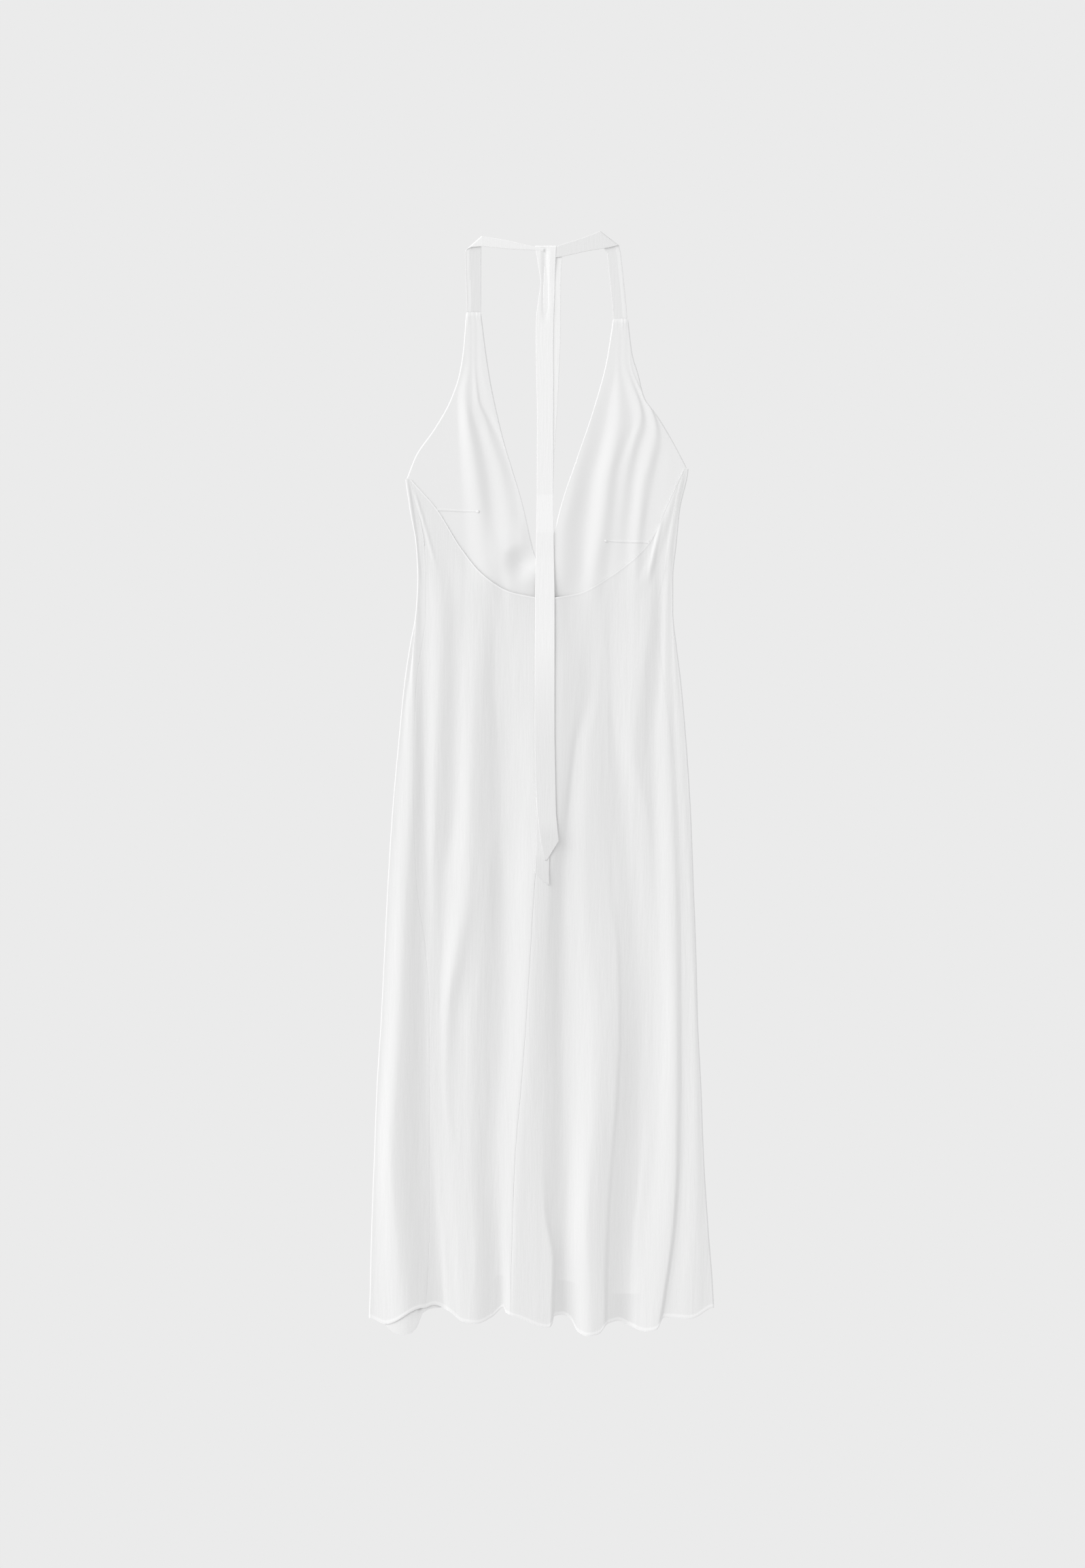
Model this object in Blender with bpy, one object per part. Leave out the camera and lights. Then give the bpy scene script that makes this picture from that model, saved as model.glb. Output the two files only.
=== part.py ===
"""Halter dress laid out on its front, with the low scooped back and the knotted neck ties on top.

The tables hold millimetres and the meshes metres. X runs across the dress, Y from the hem to the neck
and Z up from the table that the dress lies on. The origin is the middle of the outline, on the table.
"""

import math
from collections import namedtuple

import bmesh
import bpy
from mathutils import Vector

MM = 0.001

# Cloth wall, and the clearance between panels and at seams
WALL = 1.0
GAP = 0.3

# Heights of the layers where the dress lies flattest
LINING_Z = WALL + GAP
BACK_Z = LINING_Z + WALL + GAP
BACK_TOP_Z = BACK_Z + WALL

# How the grids are divided
SKIRT_ROWS = 22
CUP_ROWS = 9
FLAT_COLUMNS = 8
WRAP_COLUMNS = 7
ARC_STEPS = 5
BACK_COLUMNS = 26

# The lining stops short of the outer hem
LINING_HEM_Y = -587.0

Point = namedtuple("Point", "x y")
Section = namedtuple("Section", "y left_edge left_seam centre_seam right_seam right_edge")
Fold = namedtuple(
    "Fold",
    "name y_top x_top x_middle x_foot y_foot rise_top rise_foot"
    " left_top left_foot right_top right_foot runs_out_at_hem",
)

# The outline and the seams, from the underarm down to the hem
SECTIONS = [
    Section(372, -161, -155.5, 5, 167.5, 173),
    Section(321, -155, -145, 5, 157.5, 163),
    Section(281, -148, -138, 5, 151, 159),
    Section(241, -146, -136, 5, 144, 155),
    Section(201, -148, -136, 5, 137, 155),
    Section(161, -155, -141, 4, 139, 159),
    Section(121, -161, -147, 4, 144, 164),
    Section(41, -169, -150, 2, 155, 171),
    Section(-39, -176, -150, 0, 161, 176),
    Section(-119, -181, -147, -8, 163, 179),
    Section(-199, -185, -136, -13, 164, 182),
    Section(-279, -189, -132, -18, 164, 184),
    Section(-359, -194, -132, -24, 165, 188),
    Section(-439, -197, -132, -31, 165, 191),
    Section(-519, -200, -132, -34, 162, 196),
    Section(-599, -202, -135, -36, 151, 202),
    Section(-640, -203, -140, -36, 144, 203.5),
]
LEFT_UNDERARM_Y = 357.0
RIGHT_UNDERARM_Y = 369.0
NECK_V = Point(5.0, 237.0)
BACK_NECK = Point(5.0, 216.5)

# The low back neckline, from the left underarm to the right one
NECKLINE_LEFT = [Point(-145, 347), Point(-124, 323), Point(-94, 275), Point(-68, 244), Point(-35, 224)]
NECKLINE_RIGHT = [Point(43, 223), Point(85, 246), Point(115, 270), Point(130, 288), Point(148, 328)]

# The edges of the two front cups, from the body up to the ends of the straps
LEFT_ARMHOLE = [Point(-148, 385), Point(-126, 417), Point(-108, 449), Point(-97, 481), Point(-92, 513)]
LEFT_CUP_TOP = (Point(-90, 547), Point(-71.5, 547))
LEFT_V_EDGE = [Point(-8, 269), Point(-23, 331), Point(-46, 409), Point(-60, 473), Point(-66, 513)]
RIGHT_ARMHOLE = [Point(155, 401), Point(137, 431), Point(121, 454), Point(114, 481), Point(107, 505)]
RIGHT_CUP_TOP = (Point(100.5, 537), Point(82, 537))
RIGHT_V_EDGE = [Point(12, 281), Point(24, 330), Point(42, 383), Point(60, 436), Point(76, 495)]

# The hems swing out over each fold and in between the folds
BACK_HEM = [
    Point(-140, -616.5),
    Point(-129, -613),
    Point(-80, -635.5),
    Point(-45, -618),
    Point(-36, -629),
    Point(1, -639.5),
    Point(22, -629),
    Point(52, -650),
    Point(85, -635),
    Point(127, -646),
    Point(144, -627.5),
]
LEFT_WRAP_HEM = [Point(-203, -629), Point(-183, -635.5), Point(-140, -616.5)]
RIGHT_WRAP_HEM = [Point(144, -627.5), Point(175, -629), Point(203, -616)]
FRONT_HEM = [
    Point(-203, -629),
    Point(-160, -649),
    Point(-125, -618),
    Point(-45, -613),
    Point(27, -624),
    Point(115, -630),
    Point(203, -616),
]

# Long folds of the skirt. Rises stand above the cloth between the folds, reaches go out to both sides
SKIRT_FOLDS = [
    Fold("left_side", 165, -157, -160, -170, -650, 2.5, 8.0, 14, 26, 10, 26, True),
    Fold("left_hip", 215, -124, -121, -125, -150, 3.0, 2.0, 12, 12, 12, 12, False),
    Fold("left_long", 215, -79, -79, -118, -310, 4.5, 3.5, 20, 18, 20, 20, False),
    Fold("centre", 235, 5, -12, -34, -650, 2.0, 7.5, 40, 9, 38, 48, True),
    Fold("left_knee", -260, -76, -77, -80, -650, 1.0, 5.0, 26, 30, 26, 26, True),
    Fold("right_long", 130, 60, 72, 59, -650, 3.5, 8.0, 28, 32, 22, 12, True),
    Fold("right_hip", 200, 104, 112, 92, -160, 3.5, 2.5, 20, 18, 18, 18, False),
    Fold("right_seam", 190, 150, 147, 128, -650, 3.0, 7.0, 24, 28, 10, 16, True),
    Fold("right_side", 150, 152, 176, 183, -650, 2.0, 7.0, 8, 26, 8, 22, True),
]

# Soft ridges in the inside of the front cups
CUP_FOLDS = [
    Fold("left_cup_main", 520, -92, -80, -66, 225, 2.5, 5.0, 13, 26, 11, 17, False),
    Fold("left_cup_neck", 460, -74, -52, -34, 255, 1.5, 3.0, 10, 12, 10, 16, False),
    Fold("right_cup_main", 480, 90, 88, 68, 225, 2.0, 5.0, 12, 28, 12, 17, False),
    Fold("right_cup_side", 450, 127, 120, 110, 245, 1.8, 3.2, 12, 16, 12, 14, False),
]
CREPE_FOLLOWS = 0.5

# Air under the top layer: at the neckline, down the skirt, and at the side folds
NECKLINE_LOFT = 1.0
SKIRT_LOFT = 1.6
LOFT_RAMP = 140.0
LOFT_TOP_Y = 256.5
EDGE_LOFT = 3.2
EDGE_REACH = 30.0
SIDE_TURN = 3.2

# Neck ties. A strip's length runs straight on past its fold, as it would before folding
Strip = namedtuple("Strip", "along left right thick")
LEFT_TIE = [
    Strip(547.3, -90.0, -71.5, 1.8),
    Strip(565, -88.0, -71.0, 1.8),
    Strip(600, -89.5, -71.0, 1.8),
    Strip(625, -90.0, -70.8, 1.8),
    Strip(634, -85.0, -70.6, 1.8),
    Strip(645, -82.6, -70.6, 1.8),
    Strip(675, -81.6, -71.4, 2.0),
    Strip(705, -79.0, -74.5, 2.8),
    Strip(719, -78.8, -75.2, 3.0),
]
RIGHT_TIE = [
    Strip(537.8, 82.0, 100.5, 1.8),
    Strip(560, 83.5, 100.0, 1.8),
    Strip(600, 79.5, 96.0, 1.8),
    Strip(622, 77.5, 93.5, 1.8),
    Strip(634, 70.5, 91.2, 1.8),
    Strip(645, 69.0, 90.8, 1.8),
    Strip(672, 71.6, 88.0, 1.8),
    Strip(700, 72.4, 86.6, 1.8),
    Strip(715, 74.5, 84.5, 1.8),
]
CORNER_RADIUS = 1.2
LEFT_CORNER = Point(-75.4, 637.6)
LEFT_CORNER_ANGLE = 41.0
RIGHT_CORNER = Point(78.3, 641.0)
RIGHT_CORNER_ANGLE = -37.2
KNOT = Point(5.0, 630.3)
KNOT_RADIUS = 2.8

# The two ends of the tie below the knot, each running down to a slanting point
OVER_TAIL = [
    Strip(625.5, -5.0, 14.5, 1.8),
    Strip(630.3, -7.5, 17.5, 1.8),
    Strip(610, -6.5, 18.5, 1.8),
    Strip(590, -6.0, 17.2, 1.8),
    Strip(520, -6.8, 14.0, 1.8),
    Strip(440, -5.2, 14.2, 1.8),
    Strip(330, -5.5, 13.8, 1.8),
    Strip(220, -7.5, 15.5, 1.8),
    Strip(60, -8.0, 15.5, 1.8),
    Strip(0, -7.0, 16.5, 1.8),
    Strip(-36, -5.0, 17.2, 1.8),
    Strip(-68, -1.0, 20.4, 1.8),
    Strip(-91, 3.8, 6.2, 1.8),
]
UNDER_TAIL = [
    Strip(620, 4.0, 24.5, 1.8),
    Strip(600, 3.0, 23.0, 1.8),
    Strip(520, 0.0, 22.4, 1.8),
    Strip(440, -3.0, 18.8, 1.8),
    Strip(380, -4.0, 14.8, 1.8),
    Strip(300, -4.5, 13.0, 1.8),
    Strip(150, -5.5, 13.5, 1.8),
    Strip(0, -6.0, 14.0, 1.8),
    Strip(-75, -6.4, 9.6, 1.8),
    Strip(-105, -7.8, 9.0, 1.8),
    Strip(-120.5, 3.0, 8.6, 1.8),
]
TAIL_GROOVE = 0.7
SEAT_GAP = 0.6
SEAT_REACH = 24


def clear_scene():
    """Removes whatever the scene holds."""
    for obj in list(bpy.data.objects):
        bpy.data.objects.remove(obj)


def blend(a, b, t):
    """The value a share t of the way from a to b."""
    return a + (b - a) * t


def smooth(t):
    """An S-shaped ramp from 0 to 1."""
    t = min(max(t, 0.0), 1.0)
    return t * t * (3 - 2 * t)


def curve(points, t):
    """A point a share t along a smooth curve through the points, with even steps between them."""
    spans = len(points) - 1
    at = min(int(t * spans), spans - 1)
    local = t * spans - at
    before = points[max(at - 1, 0)]
    start, end = points[at], points[at + 1]
    after = points[min(at + 2, spans)]
    found = []
    for a, b, c, d in zip(before, start, end, after):
        found.append(
            b
            + 0.5 * local * (c - a + local * (2 * a - 5 * b + 4 * c - d + local * (3 * (b - c) + d - a)))
        )
    return Point(*found)


def section_at(y, column):
    """One of the outline's or seams' X values at a height on the dress."""
    rows = SECTIONS
    y = min(max(y, rows[-1].y), rows[0].y)
    index = next(i for i in range(len(rows) - 1) if y >= rows[i + 1].y)
    upper, lower = rows[index], rows[index + 1]
    above, below = rows[max(index - 1, 0)], rows[min(index + 2, len(rows) - 1)]
    t = (upper.y - y) / (upper.y - lower.y)
    a, b, c, d = (getattr(row, column) for row in (above, upper, lower, below))
    return b + 0.5 * t * (c - a + t * (2 * a - 5 * b + 4 * c - d + t * (3 * (b - c) + d - a)))


def wave(points, x):
    """The Y of a hem at x, easing between the rows of its table."""
    x = min(max(x, points[0].x), points[-1].x)
    index = next(i for i in range(len(points) - 1) if x <= points[i + 1].x)
    start, end = points[index], points[index + 1]
    return blend(start.y, end.y, smooth((x - start.x) / (end.x - start.x)))


def fold_rise(fold, x, y):
    """How far a fold lifts the cloth at a point."""
    t = (fold.y_top - y) / (fold.y_top - fold.y_foot)
    if t <= 0 or (t >= 1 and not fold.runs_out_at_hem):
        return 0.0
    t = min(t, 1.0)
    bend = 2 * (fold.x_top + fold.x_foot - 2 * fold.x_middle)
    crest = fold.x_top + t * (fold.x_foot - fold.x_top - bend) + t * t * bend
    reach = blend(fold.left_top, fold.left_foot, t) if x < crest else blend(fold.right_top, fold.right_foot, t)
    away = abs(x - crest) / reach
    if away >= 1:
        return 0.0
    height = blend(fold.rise_top, fold.rise_foot, t) * smooth(t / 0.2)
    if not fold.runs_out_at_hem:
        height *= smooth((1 - t) / 0.3)
    return height * 0.5 * (1 + math.cos(math.pi * away))


def front_lift(x, y):
    """How far the lining of the cups stands off its lowest level, above the back panel."""
    return sum(fold_rise(fold, x, y) for fold in CUP_FOLDS)


def outer_lift(x, y):
    """How far the crepe under that lining stands off the table. It follows the lining less far up."""
    return CREPE_FOLLOWS * front_lift(x, y)


def loft(x, y):
    """How far the top layer stands off the layers under it."""
    plain = blend(NECKLINE_LOFT, SKIRT_LOFT, smooth((LOFT_TOP_Y - y) / LOFT_RAMP))
    side = min(x - section_at(y, "left_edge"), section_at(y, "right_edge") - x)
    edge = (EDGE_LOFT - plain) * smooth(1 - side / EDGE_REACH)
    return plain + edge + sum(fold_rise(fold, x, y) for fold in SKIRT_FOLDS)


def top_height(x, y):
    """The outer face of the uppermost layer of cloth, over the body of the dress."""
    return BACK_TOP_Z + front_lift(x, y) + loft(x, y)


def patch(left, right, foot, head, columns, rows):
    """Rows of plan points filling the space between four edge curves, each a function of a share 0 to 1."""
    grid = []
    for row in range(rows + 1):
        v = row / rows
        line = []
        for column in range(columns + 1):
            u = column / columns
            found = []
            for axis in (0, 1):
                sides = blend(left(v)[axis], right(v)[axis], u)
                ends = blend(foot(u)[axis], head(u)[axis], v)
                corners = blend(
                    blend(foot(0)[axis], foot(1)[axis], u), blend(head(0)[axis], head(1)[axis], u), v
                )
                found.append(sides + ends - corners)
            line.append(Point(*found))
        grid.append(line)
    return grid


def lifted(grid, height):
    """The plan points of a patch raised to a height function."""
    return [[Vector((p.x, p.y, height(p.x, p.y))) for p in line] for line in grid]


def straight(start, end):
    """The straight edge between two points, as a function of a share."""
    return lambda t: Point(blend(start.x, end.x, t), blend(start.y, end.y, t))


def add_cloth(name, patches, material, outwards_down, steep=False):
    """One panel of cloth: its outer face from the patches, its inner face a wall's thickness behind it.

    The wall is measured upright, so that stacked panels and neighbours keep their distance. A panel with
    steep folds gets a deeper one there.
    """
    mesh = bpy.data.meshes.new(name)
    sheet = bmesh.new()
    for grid in patches:
        corners = [[sheet.verts.new(p * MM) for p in line] for line in grid]
        for lower, upper in zip(corners, corners[1:]):
            for column in range(len(lower) - 1):
                a, b, c, d = lower[column], lower[column + 1], upper[column + 1], upper[column]
                for ring in ([a, b, c], [a, c, d]):
                    sheet.faces.new(ring[::-1] if outwards_down else ring)
    bmesh.ops.remove_doubles(sheet, verts=sheet.verts, dist=0.02 * MM)
    sheet.normal_update()
    outer_faces = list(sheet.faces)
    rim = [edge for edge in sheet.edges if edge.is_boundary]
    inner = {}
    for vert in list(sheet.verts):
        tilt = vert.normal.z
        if abs(tilt) > 0.5:
            inwards = Vector((0, 0, -1 / tilt if steep else -math.copysign(1, tilt)))
        else:
            inwards = -vert.normal
        inner[vert] = sheet.verts.new(vert.co + inwards * WALL * MM)
    for face in outer_faces:
        sheet.faces.new([inner[vert] for vert in reversed(face.verts)])
    for edge in rim:
        loop = edge.link_loops[0]
        start, end = loop.vert, loop.link_loop_next.vert
        sheet.faces.new([end, start, inner[start], inner[end]])
    sheet.to_mesh(mesh)
    sheet.free()
    panel = bpy.data.objects.new(name, mesh)
    bpy.context.scene.collection.objects.link(panel)
    mesh.materials.append(material)
    mesh.shade_smooth()
    mesh.set_sharp_from_angle(angle=math.radians(60))
    return panel


def add_ribbon(name, rings, material):
    """A closed band of cloth through rings of points, with flat ends."""
    mesh = bpy.data.meshes.new(name)
    band = bmesh.new()
    loops = [[band.verts.new(p * MM) for p in ring] for ring in rings]
    for near, far in zip(loops, loops[1:]):
        for i in range(len(near)):
            j = (i + 1) % len(near)
            band.faces.new([near[i], near[j], far[j], far[i]])
    band.faces.new(loops[0][::-1])
    band.faces.new(loops[-1])
    bmesh.ops.recalc_face_normals(band, faces=band.faces)
    band.to_mesh(mesh)
    band.free()
    ribbon = bpy.data.objects.new(name, mesh)
    bpy.context.scene.collection.objects.link(ribbon)
    mesh.materials.append(material)
    mesh.shade_smooth()
    mesh.set_sharp_from_angle(angle=math.radians(50))
    return ribbon


def cloth_material(name, colour, roughness):
    """A matt cloth for one slot."""
    material = bpy.data.materials.new(name)
    material.use_nodes = True
    shader = material.node_tree.nodes["Principled BSDF"]
    shader.inputs["Base Color"].default_value = (*colour, 1.0)
    shader.inputs["Roughness"].default_value = roughness
    shader.inputs["Metallic"].default_value = 0.0
    return material


def side_grids(edge_column, seam_column, hem, underarm_y, side):
    """The part of the front that turns up round one side: its top, as far as the seam, and the turn."""
    foot_edge = hem[0] if side < 0 else hem[-1]
    foot_seam = hem[-1] if side < 0 else hem[0]
    turn = -side * SIDE_TURN

    def edge(t):
        y = blend(foot_edge.y, underarm_y, t)
        return Point(section_at(y, edge_column) + turn, y)

    def seam(t):
        y = blend(foot_seam.y, underarm_y, t)
        return Point(section_at(y, seam_column) + side * GAP / 2, y)

    def foot(t):
        x = blend(seam(0).x, edge(0).x, t)
        return Point(x, wave(hem, x))

    flat = patch(seam, edge, foot, straight(seam(1), edge(1)), WRAP_COLUMNS, SKIRT_ROWS)
    wrap = lifted(flat, top_height)
    arc = []
    for line in wrap:
        start = line[-1]
        ring = []
        for step in range(ARC_STEPS + 1):
            angle = math.pi * step / ARC_STEPS
            radius = start.z / 2
            out = side * abs(turn) * math.sin(angle)
            ring.append(Vector((start.x + out, start.y, radius + radius * math.cos(angle))))
        arc.append(ring)
    return wrap, arc


def half_body(edge_column, underarm_y, side, foot_y_at, edge_foot_y):
    """Plan grid of one half of the front or lining, from hem to the line between underarm and V."""
    turn = -side * SIDE_TURN

    def edge(t):
        y = blend(edge_foot_y, underarm_y, t)
        return Point(section_at(y, edge_column) + turn, y)

    def centre(t):
        return Point(NECK_V.x, blend(foot_y_at(NECK_V.x), NECK_V.y, t))

    def foot(t):
        x = blend(edge(0).x, NECK_V.x, t)
        return Point(x, blend(edge_foot_y, foot_y_at(x), smooth(FLAT_COLUMNS * t)))

    return patch(edge, centre, foot, straight(edge(1), centre(1)), FLAT_COLUMNS, SKIRT_ROWS)


def cup(armhole, top, v_edge, underarm):
    """Plan grid of one front cup, from the line between underarm and V up to the strap."""
    outer = [underarm, *armhole, top[0]]
    inner = [NECK_V, *v_edge, top[1]]
    return patch(
        lambda t: curve(outer, t),
        lambda t: curve(inner, t),
        straight(outer[0], inner[0]),
        straight(outer[-1], inner[-1]),
        FLAT_COLUMNS,
        CUP_ROWS,
    )


def front_plans(foot_y_at, left_foot_y, right_foot_y):
    """The four plan grids that the front and its lining share."""
    left = half_body("left_edge", LEFT_UNDERARM_Y, -1, foot_y_at, left_foot_y)
    right = half_body("right_edge", RIGHT_UNDERARM_Y, 1, foot_y_at, right_foot_y)
    left_cup = cup(LEFT_ARMHOLE, LEFT_CUP_TOP, LEFT_V_EDGE, left[-1][0])
    right_cup = cup(RIGHT_ARMHOLE, RIGHT_CUP_TOP, RIGHT_V_EDGE, right[-1][0])
    return (left, left_cup), (right, right_cup)


def mirrored(grid):
    """A grid with its columns in the other order."""
    return [line[::-1] for line in grid]


def add_front(material):
    """The front: two cups, the flat panel on the table, and its sides turned up over the top."""
    left_wrap, left_arc = side_grids("left_edge", "left_seam", LEFT_WRAP_HEM, LEFT_UNDERARM_Y, -1)
    right_wrap, right_arc = side_grids("right_edge", "right_seam", RIGHT_WRAP_HEM, RIGHT_UNDERARM_Y, 1)
    lefts, rights = front_plans(lambda x: wave(FRONT_HEM, x), LEFT_WRAP_HEM[0].y, RIGHT_WRAP_HEM[-1].y)
    patches = [left_wrap, left_arc]
    patches += [lifted(grid, outer_lift) for grid in lefts]
    patches += [mirrored(lifted(grid, outer_lift)) for grid in rights]
    patches += [mirrored(right_arc), mirrored(right_wrap)]
    return add_cloth("front", patches, material, True)


def add_lining(material):
    """The smooth lining of the front, seen inside the cups. It lies on the front all the way down."""
    lefts, rights = front_plans(lambda x: LINING_HEM_Y, LINING_HEM_Y, LINING_HEM_Y)

    def face(x, y):
        return LINING_Z + WALL + front_lift(x, y)

    patches = [lifted(grid, face) for grid in lefts]
    patches += [mirrored(lifted(grid, face)) for grid in rights]
    return add_cloth("front_lining", patches, material, False)


def add_back_panel(name, seam_column, underarm_y, neckline, side, material):
    """One half of the back, from the hem to the scooped neckline, between its side seam and the middle."""
    seam_foot = BACK_HEM[0] if side < 0 else BACK_HEM[-1]
    centre_foot_y = wave(BACK_HEM, SECTIONS[-1].centre_seam)

    def seam(t):
        y = blend(seam_foot.y, underarm_y, t)
        return Point(section_at(y, seam_column) - side * GAP / 2, y)

    def centre(t):
        y = blend(centre_foot_y, BACK_NECK.y, t)
        return Point(section_at(y, "centre_seam") + side * GAP / 2, y)

    def foot(t):
        x = blend(seam(0).x, centre(0).x, t)
        return Point(x, wave(BACK_HEM, x))

    def head(t):
        return curve([seam(1), *neckline, centre(1)], t)

    plan = patch(seam, centre, foot, head, BACK_COLUMNS, SKIRT_ROWS)
    top = lifted(plan, top_height)
    return add_cloth(name, [top if side < 0 else mirrored(top)], material, False, steep=True)


def strip_at(rows, along):
    """The left edge, right edge and thickness of a strip part way along it."""
    order = 1 if rows[-1].along > rows[0].along else -1
    index = 0
    while index < len(rows) - 2 and (along - rows[index + 1].along) * order > 0:
        index += 1
    start, end = rows[index], rows[index + 1]
    t = (along - start.along) / (end.along - start.along)
    return (
        blend(start.left, end.left, t),
        blend(start.right, end.right, t),
        blend(start.thick, end.thick, t),
    )


def strip_ring(left, right, thick, groove=0.0):
    """The rounded cross-section of a strip: X, and height from its middle. A groove sinks its lower face."""
    half = thick / 2
    edge = min(half, (right - left) / 3)
    return [
        (left, 0.0),
        (left + edge, -half),
        (blend(left, right, 0.5), -half + groove),
        (right - edge, -half),
        (right, 0.0),
        (right - edge, half),
        (blend(left, right, 0.5), half),
        (left + edge, half),
    ]


def turned_over(x, y, rise, base, corner, angle, radius):
    """A point of a strip after it is folded back over a slanting line, as paper is. base is its middle."""
    normal = Vector((-math.sin(angle), math.cos(angle)))
    past = (Vector((x, y)) - Vector(corner)).dot(normal)
    if past <= 0:
        return Vector((x, y, base + rise))
    turn = min(past / radius, math.pi)
    beyond = past - turn * radius
    flat = Vector((x, y)) + normal * ((radius - rise) * math.sin(turn) - past - beyond)
    return Vector((flat.x, flat.y, base + radius - (radius - rise) * math.cos(turn)))


def add_strap(name, rows, corner, corner_degrees, material):
    """A neck tie from the top of its cup, folded over at its corner and on to the knot."""
    fold_y = corner.y
    steps = [blend(rows[0].along, fold_y - 14, i / 8) for i in range(9)]
    steps += [blend(fold_y - 12, fold_y + 16, i / 24) for i in range(25)]
    steps += [blend(fold_y + 20, rows[-1].along, i / 8) for i in range(9)]
    angle = math.radians(corner_degrees)
    rings = []
    for along in steps:
        left, right, thick = strip_at(rows, along)
        ring = []
        for x, rise in strip_ring(left, right, thick):
            ring.append(turned_over(x, along, rise, thick / 2, corner, angle, CORNER_RADIUS))
        rings.append(ring)
    return add_ribbon(name, rings, material)


def edge_x_at(edge, y):
    """The X of one side of the neck opening at a height, by straight steps through its table."""
    rows = [NECK_V, *edge]
    for lower, upper in zip(rows, rows[1:]):
        if lower.y <= y <= upper.y:
            return blend(lower.x, upper.x, (y - lower.y) / (upper.y - lower.y))
    return rows[-1].x


def seat_height(y):
    """The highest cloth across the width of the tails."""
    levels = [0.0]
    for x in range(-8, 20, 4):
        if y < BACK_NECK.y + 6:
            levels.append(top_height(x, y))
        elif y < NECK_V.y or edge_x_at(LEFT_V_EDGE, y) > x or edge_x_at(RIGHT_V_EDGE, y) < x:
            levels.append(LINING_Z + WALL + front_lift(x, y))
    return max(levels)


def eased_seat(y):
    """The level on which the tails lie: it bridges small hollows and slopes over each edge."""
    raised = []
    for offset in range(-SEAT_REACH, SEAT_REACH + 1, 4):
        raised.append(max(seat_height(y + offset + shift) for shift in range(-SEAT_REACH, SEAT_REACH + 1, 6)))
    seat = sum(raised) / len(raised)
    return seat + SEAT_GAP * smooth(seat)


def tail_steps(rows, top):
    """The heights of a tail's rings: close together at the top, then even, then the slanting point."""
    tip, corner = rows[-1].along, rows[-2].along
    steps = [blend(top, top - 70, i / 10) for i in range(10)]
    steps += [blend(top - 70, corner, i / 34) for i in range(35)]
    return steps + [blend(corner, tip, 0.5), tip]


def add_under_tail(material):
    """The end of the tie that hangs underneath."""
    rings = []
    for y in tail_steps(UNDER_TAIL, UNDER_TAIL[0].along):
        left, right, thick = strip_at(UNDER_TAIL, y)
        base = eased_seat(y) + thick / 2
        rings.append([Vector((x, y, base + rise)) for x, rise in strip_ring(left, right, thick)])
    return add_ribbon("tie_tail_under", rings, material)


def add_over_tail(material):
    """The end that starts behind the bands, turns over them and hangs down on top."""
    start, turn = OVER_TAIL[0], OVER_TAIL[1]
    rings = []
    for step in range(15):
        past = blend(start.along - KNOT.y, math.pi * KNOT_RADIUS, step / 14)
        left, right, thick = strip_at(OVER_TAIL, min(KNOT.y + past, turn.along))
        groove = TAIL_GROOVE * smooth(past / (math.pi * KNOT_RADIUS))
        ring = []
        for x, rise in strip_ring(left, right, thick, groove):
            ring.append(turned_over(x, KNOT.y + past, rise, thick / 2, KNOT, 0.0, KNOT_RADIUS))
        rings.append(ring)
    for y in tail_steps(OVER_TAIL, KNOT.y - 3):
        left, right, thick = strip_at(OVER_TAIL[1:], y)
        on_knot = thick / 2 + 2 * KNOT_RADIUS
        on_tail = eased_seat(y) + thick + GAP + thick / 2
        base = blend(on_knot, on_tail, smooth((KNOT.y - 14 - y) / 44))
        groove = TAIL_GROOVE * (1 - smooth((KNOT.y - 60 - y) / 60))
        rings.append([Vector((x, y, base - rise)) for x, rise in strip_ring(left, right, thick, groove)])
    return add_ribbon("tie_tail_over", rings, material)


def main():
    clear_scene()
    crepe = cloth_material("crepe", (0.87, 0.87, 0.87), 0.75)
    satin = cloth_material("satin_lining", (0.88, 0.88, 0.88), 0.5)
    add_front(crepe)
    add_lining(satin)
    add_back_panel("back_left", "left_seam", LEFT_UNDERARM_Y, NECKLINE_LEFT, -1, crepe)
    add_back_panel("back_right", "right_seam", RIGHT_UNDERARM_Y, NECKLINE_RIGHT[::-1], 1, crepe)
    add_strap("tie_left", LEFT_TIE, LEFT_CORNER, LEFT_CORNER_ANGLE, crepe)
    add_strap("tie_right", RIGHT_TIE, RIGHT_CORNER, RIGHT_CORNER_ANGLE, crepe)
    add_under_tail(crepe)
    add_over_tail(crepe)


main()
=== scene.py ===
"""A long white halter dress laid flat on its front, made piece by piece as a dressmaker sews it.

The tables hold millimetres, measured on the dress as it lies: X to the right, Y from hem to neck.
"""

import math
from collections import namedtuple

import bpy
import numpy as np
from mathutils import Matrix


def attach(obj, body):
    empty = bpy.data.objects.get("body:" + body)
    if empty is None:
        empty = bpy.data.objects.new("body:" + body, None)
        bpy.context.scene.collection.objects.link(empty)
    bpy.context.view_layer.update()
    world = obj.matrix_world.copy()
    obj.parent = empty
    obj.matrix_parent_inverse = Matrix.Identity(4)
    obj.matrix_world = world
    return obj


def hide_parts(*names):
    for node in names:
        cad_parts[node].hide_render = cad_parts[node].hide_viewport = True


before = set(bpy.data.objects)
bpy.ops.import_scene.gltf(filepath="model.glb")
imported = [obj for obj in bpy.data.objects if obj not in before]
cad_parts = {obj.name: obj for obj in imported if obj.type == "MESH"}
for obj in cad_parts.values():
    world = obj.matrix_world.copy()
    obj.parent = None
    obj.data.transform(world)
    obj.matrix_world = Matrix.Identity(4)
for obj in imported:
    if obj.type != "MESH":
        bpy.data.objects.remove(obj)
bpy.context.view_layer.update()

# Camera. The photograph looks straight down on the dress as it lies, from a few metres up.
# Its frame is taller than it is wide, and one of its pixels covers 0.8 mm of cloth.
MM = 0.001
PIXEL_MM = 0.8
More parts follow.
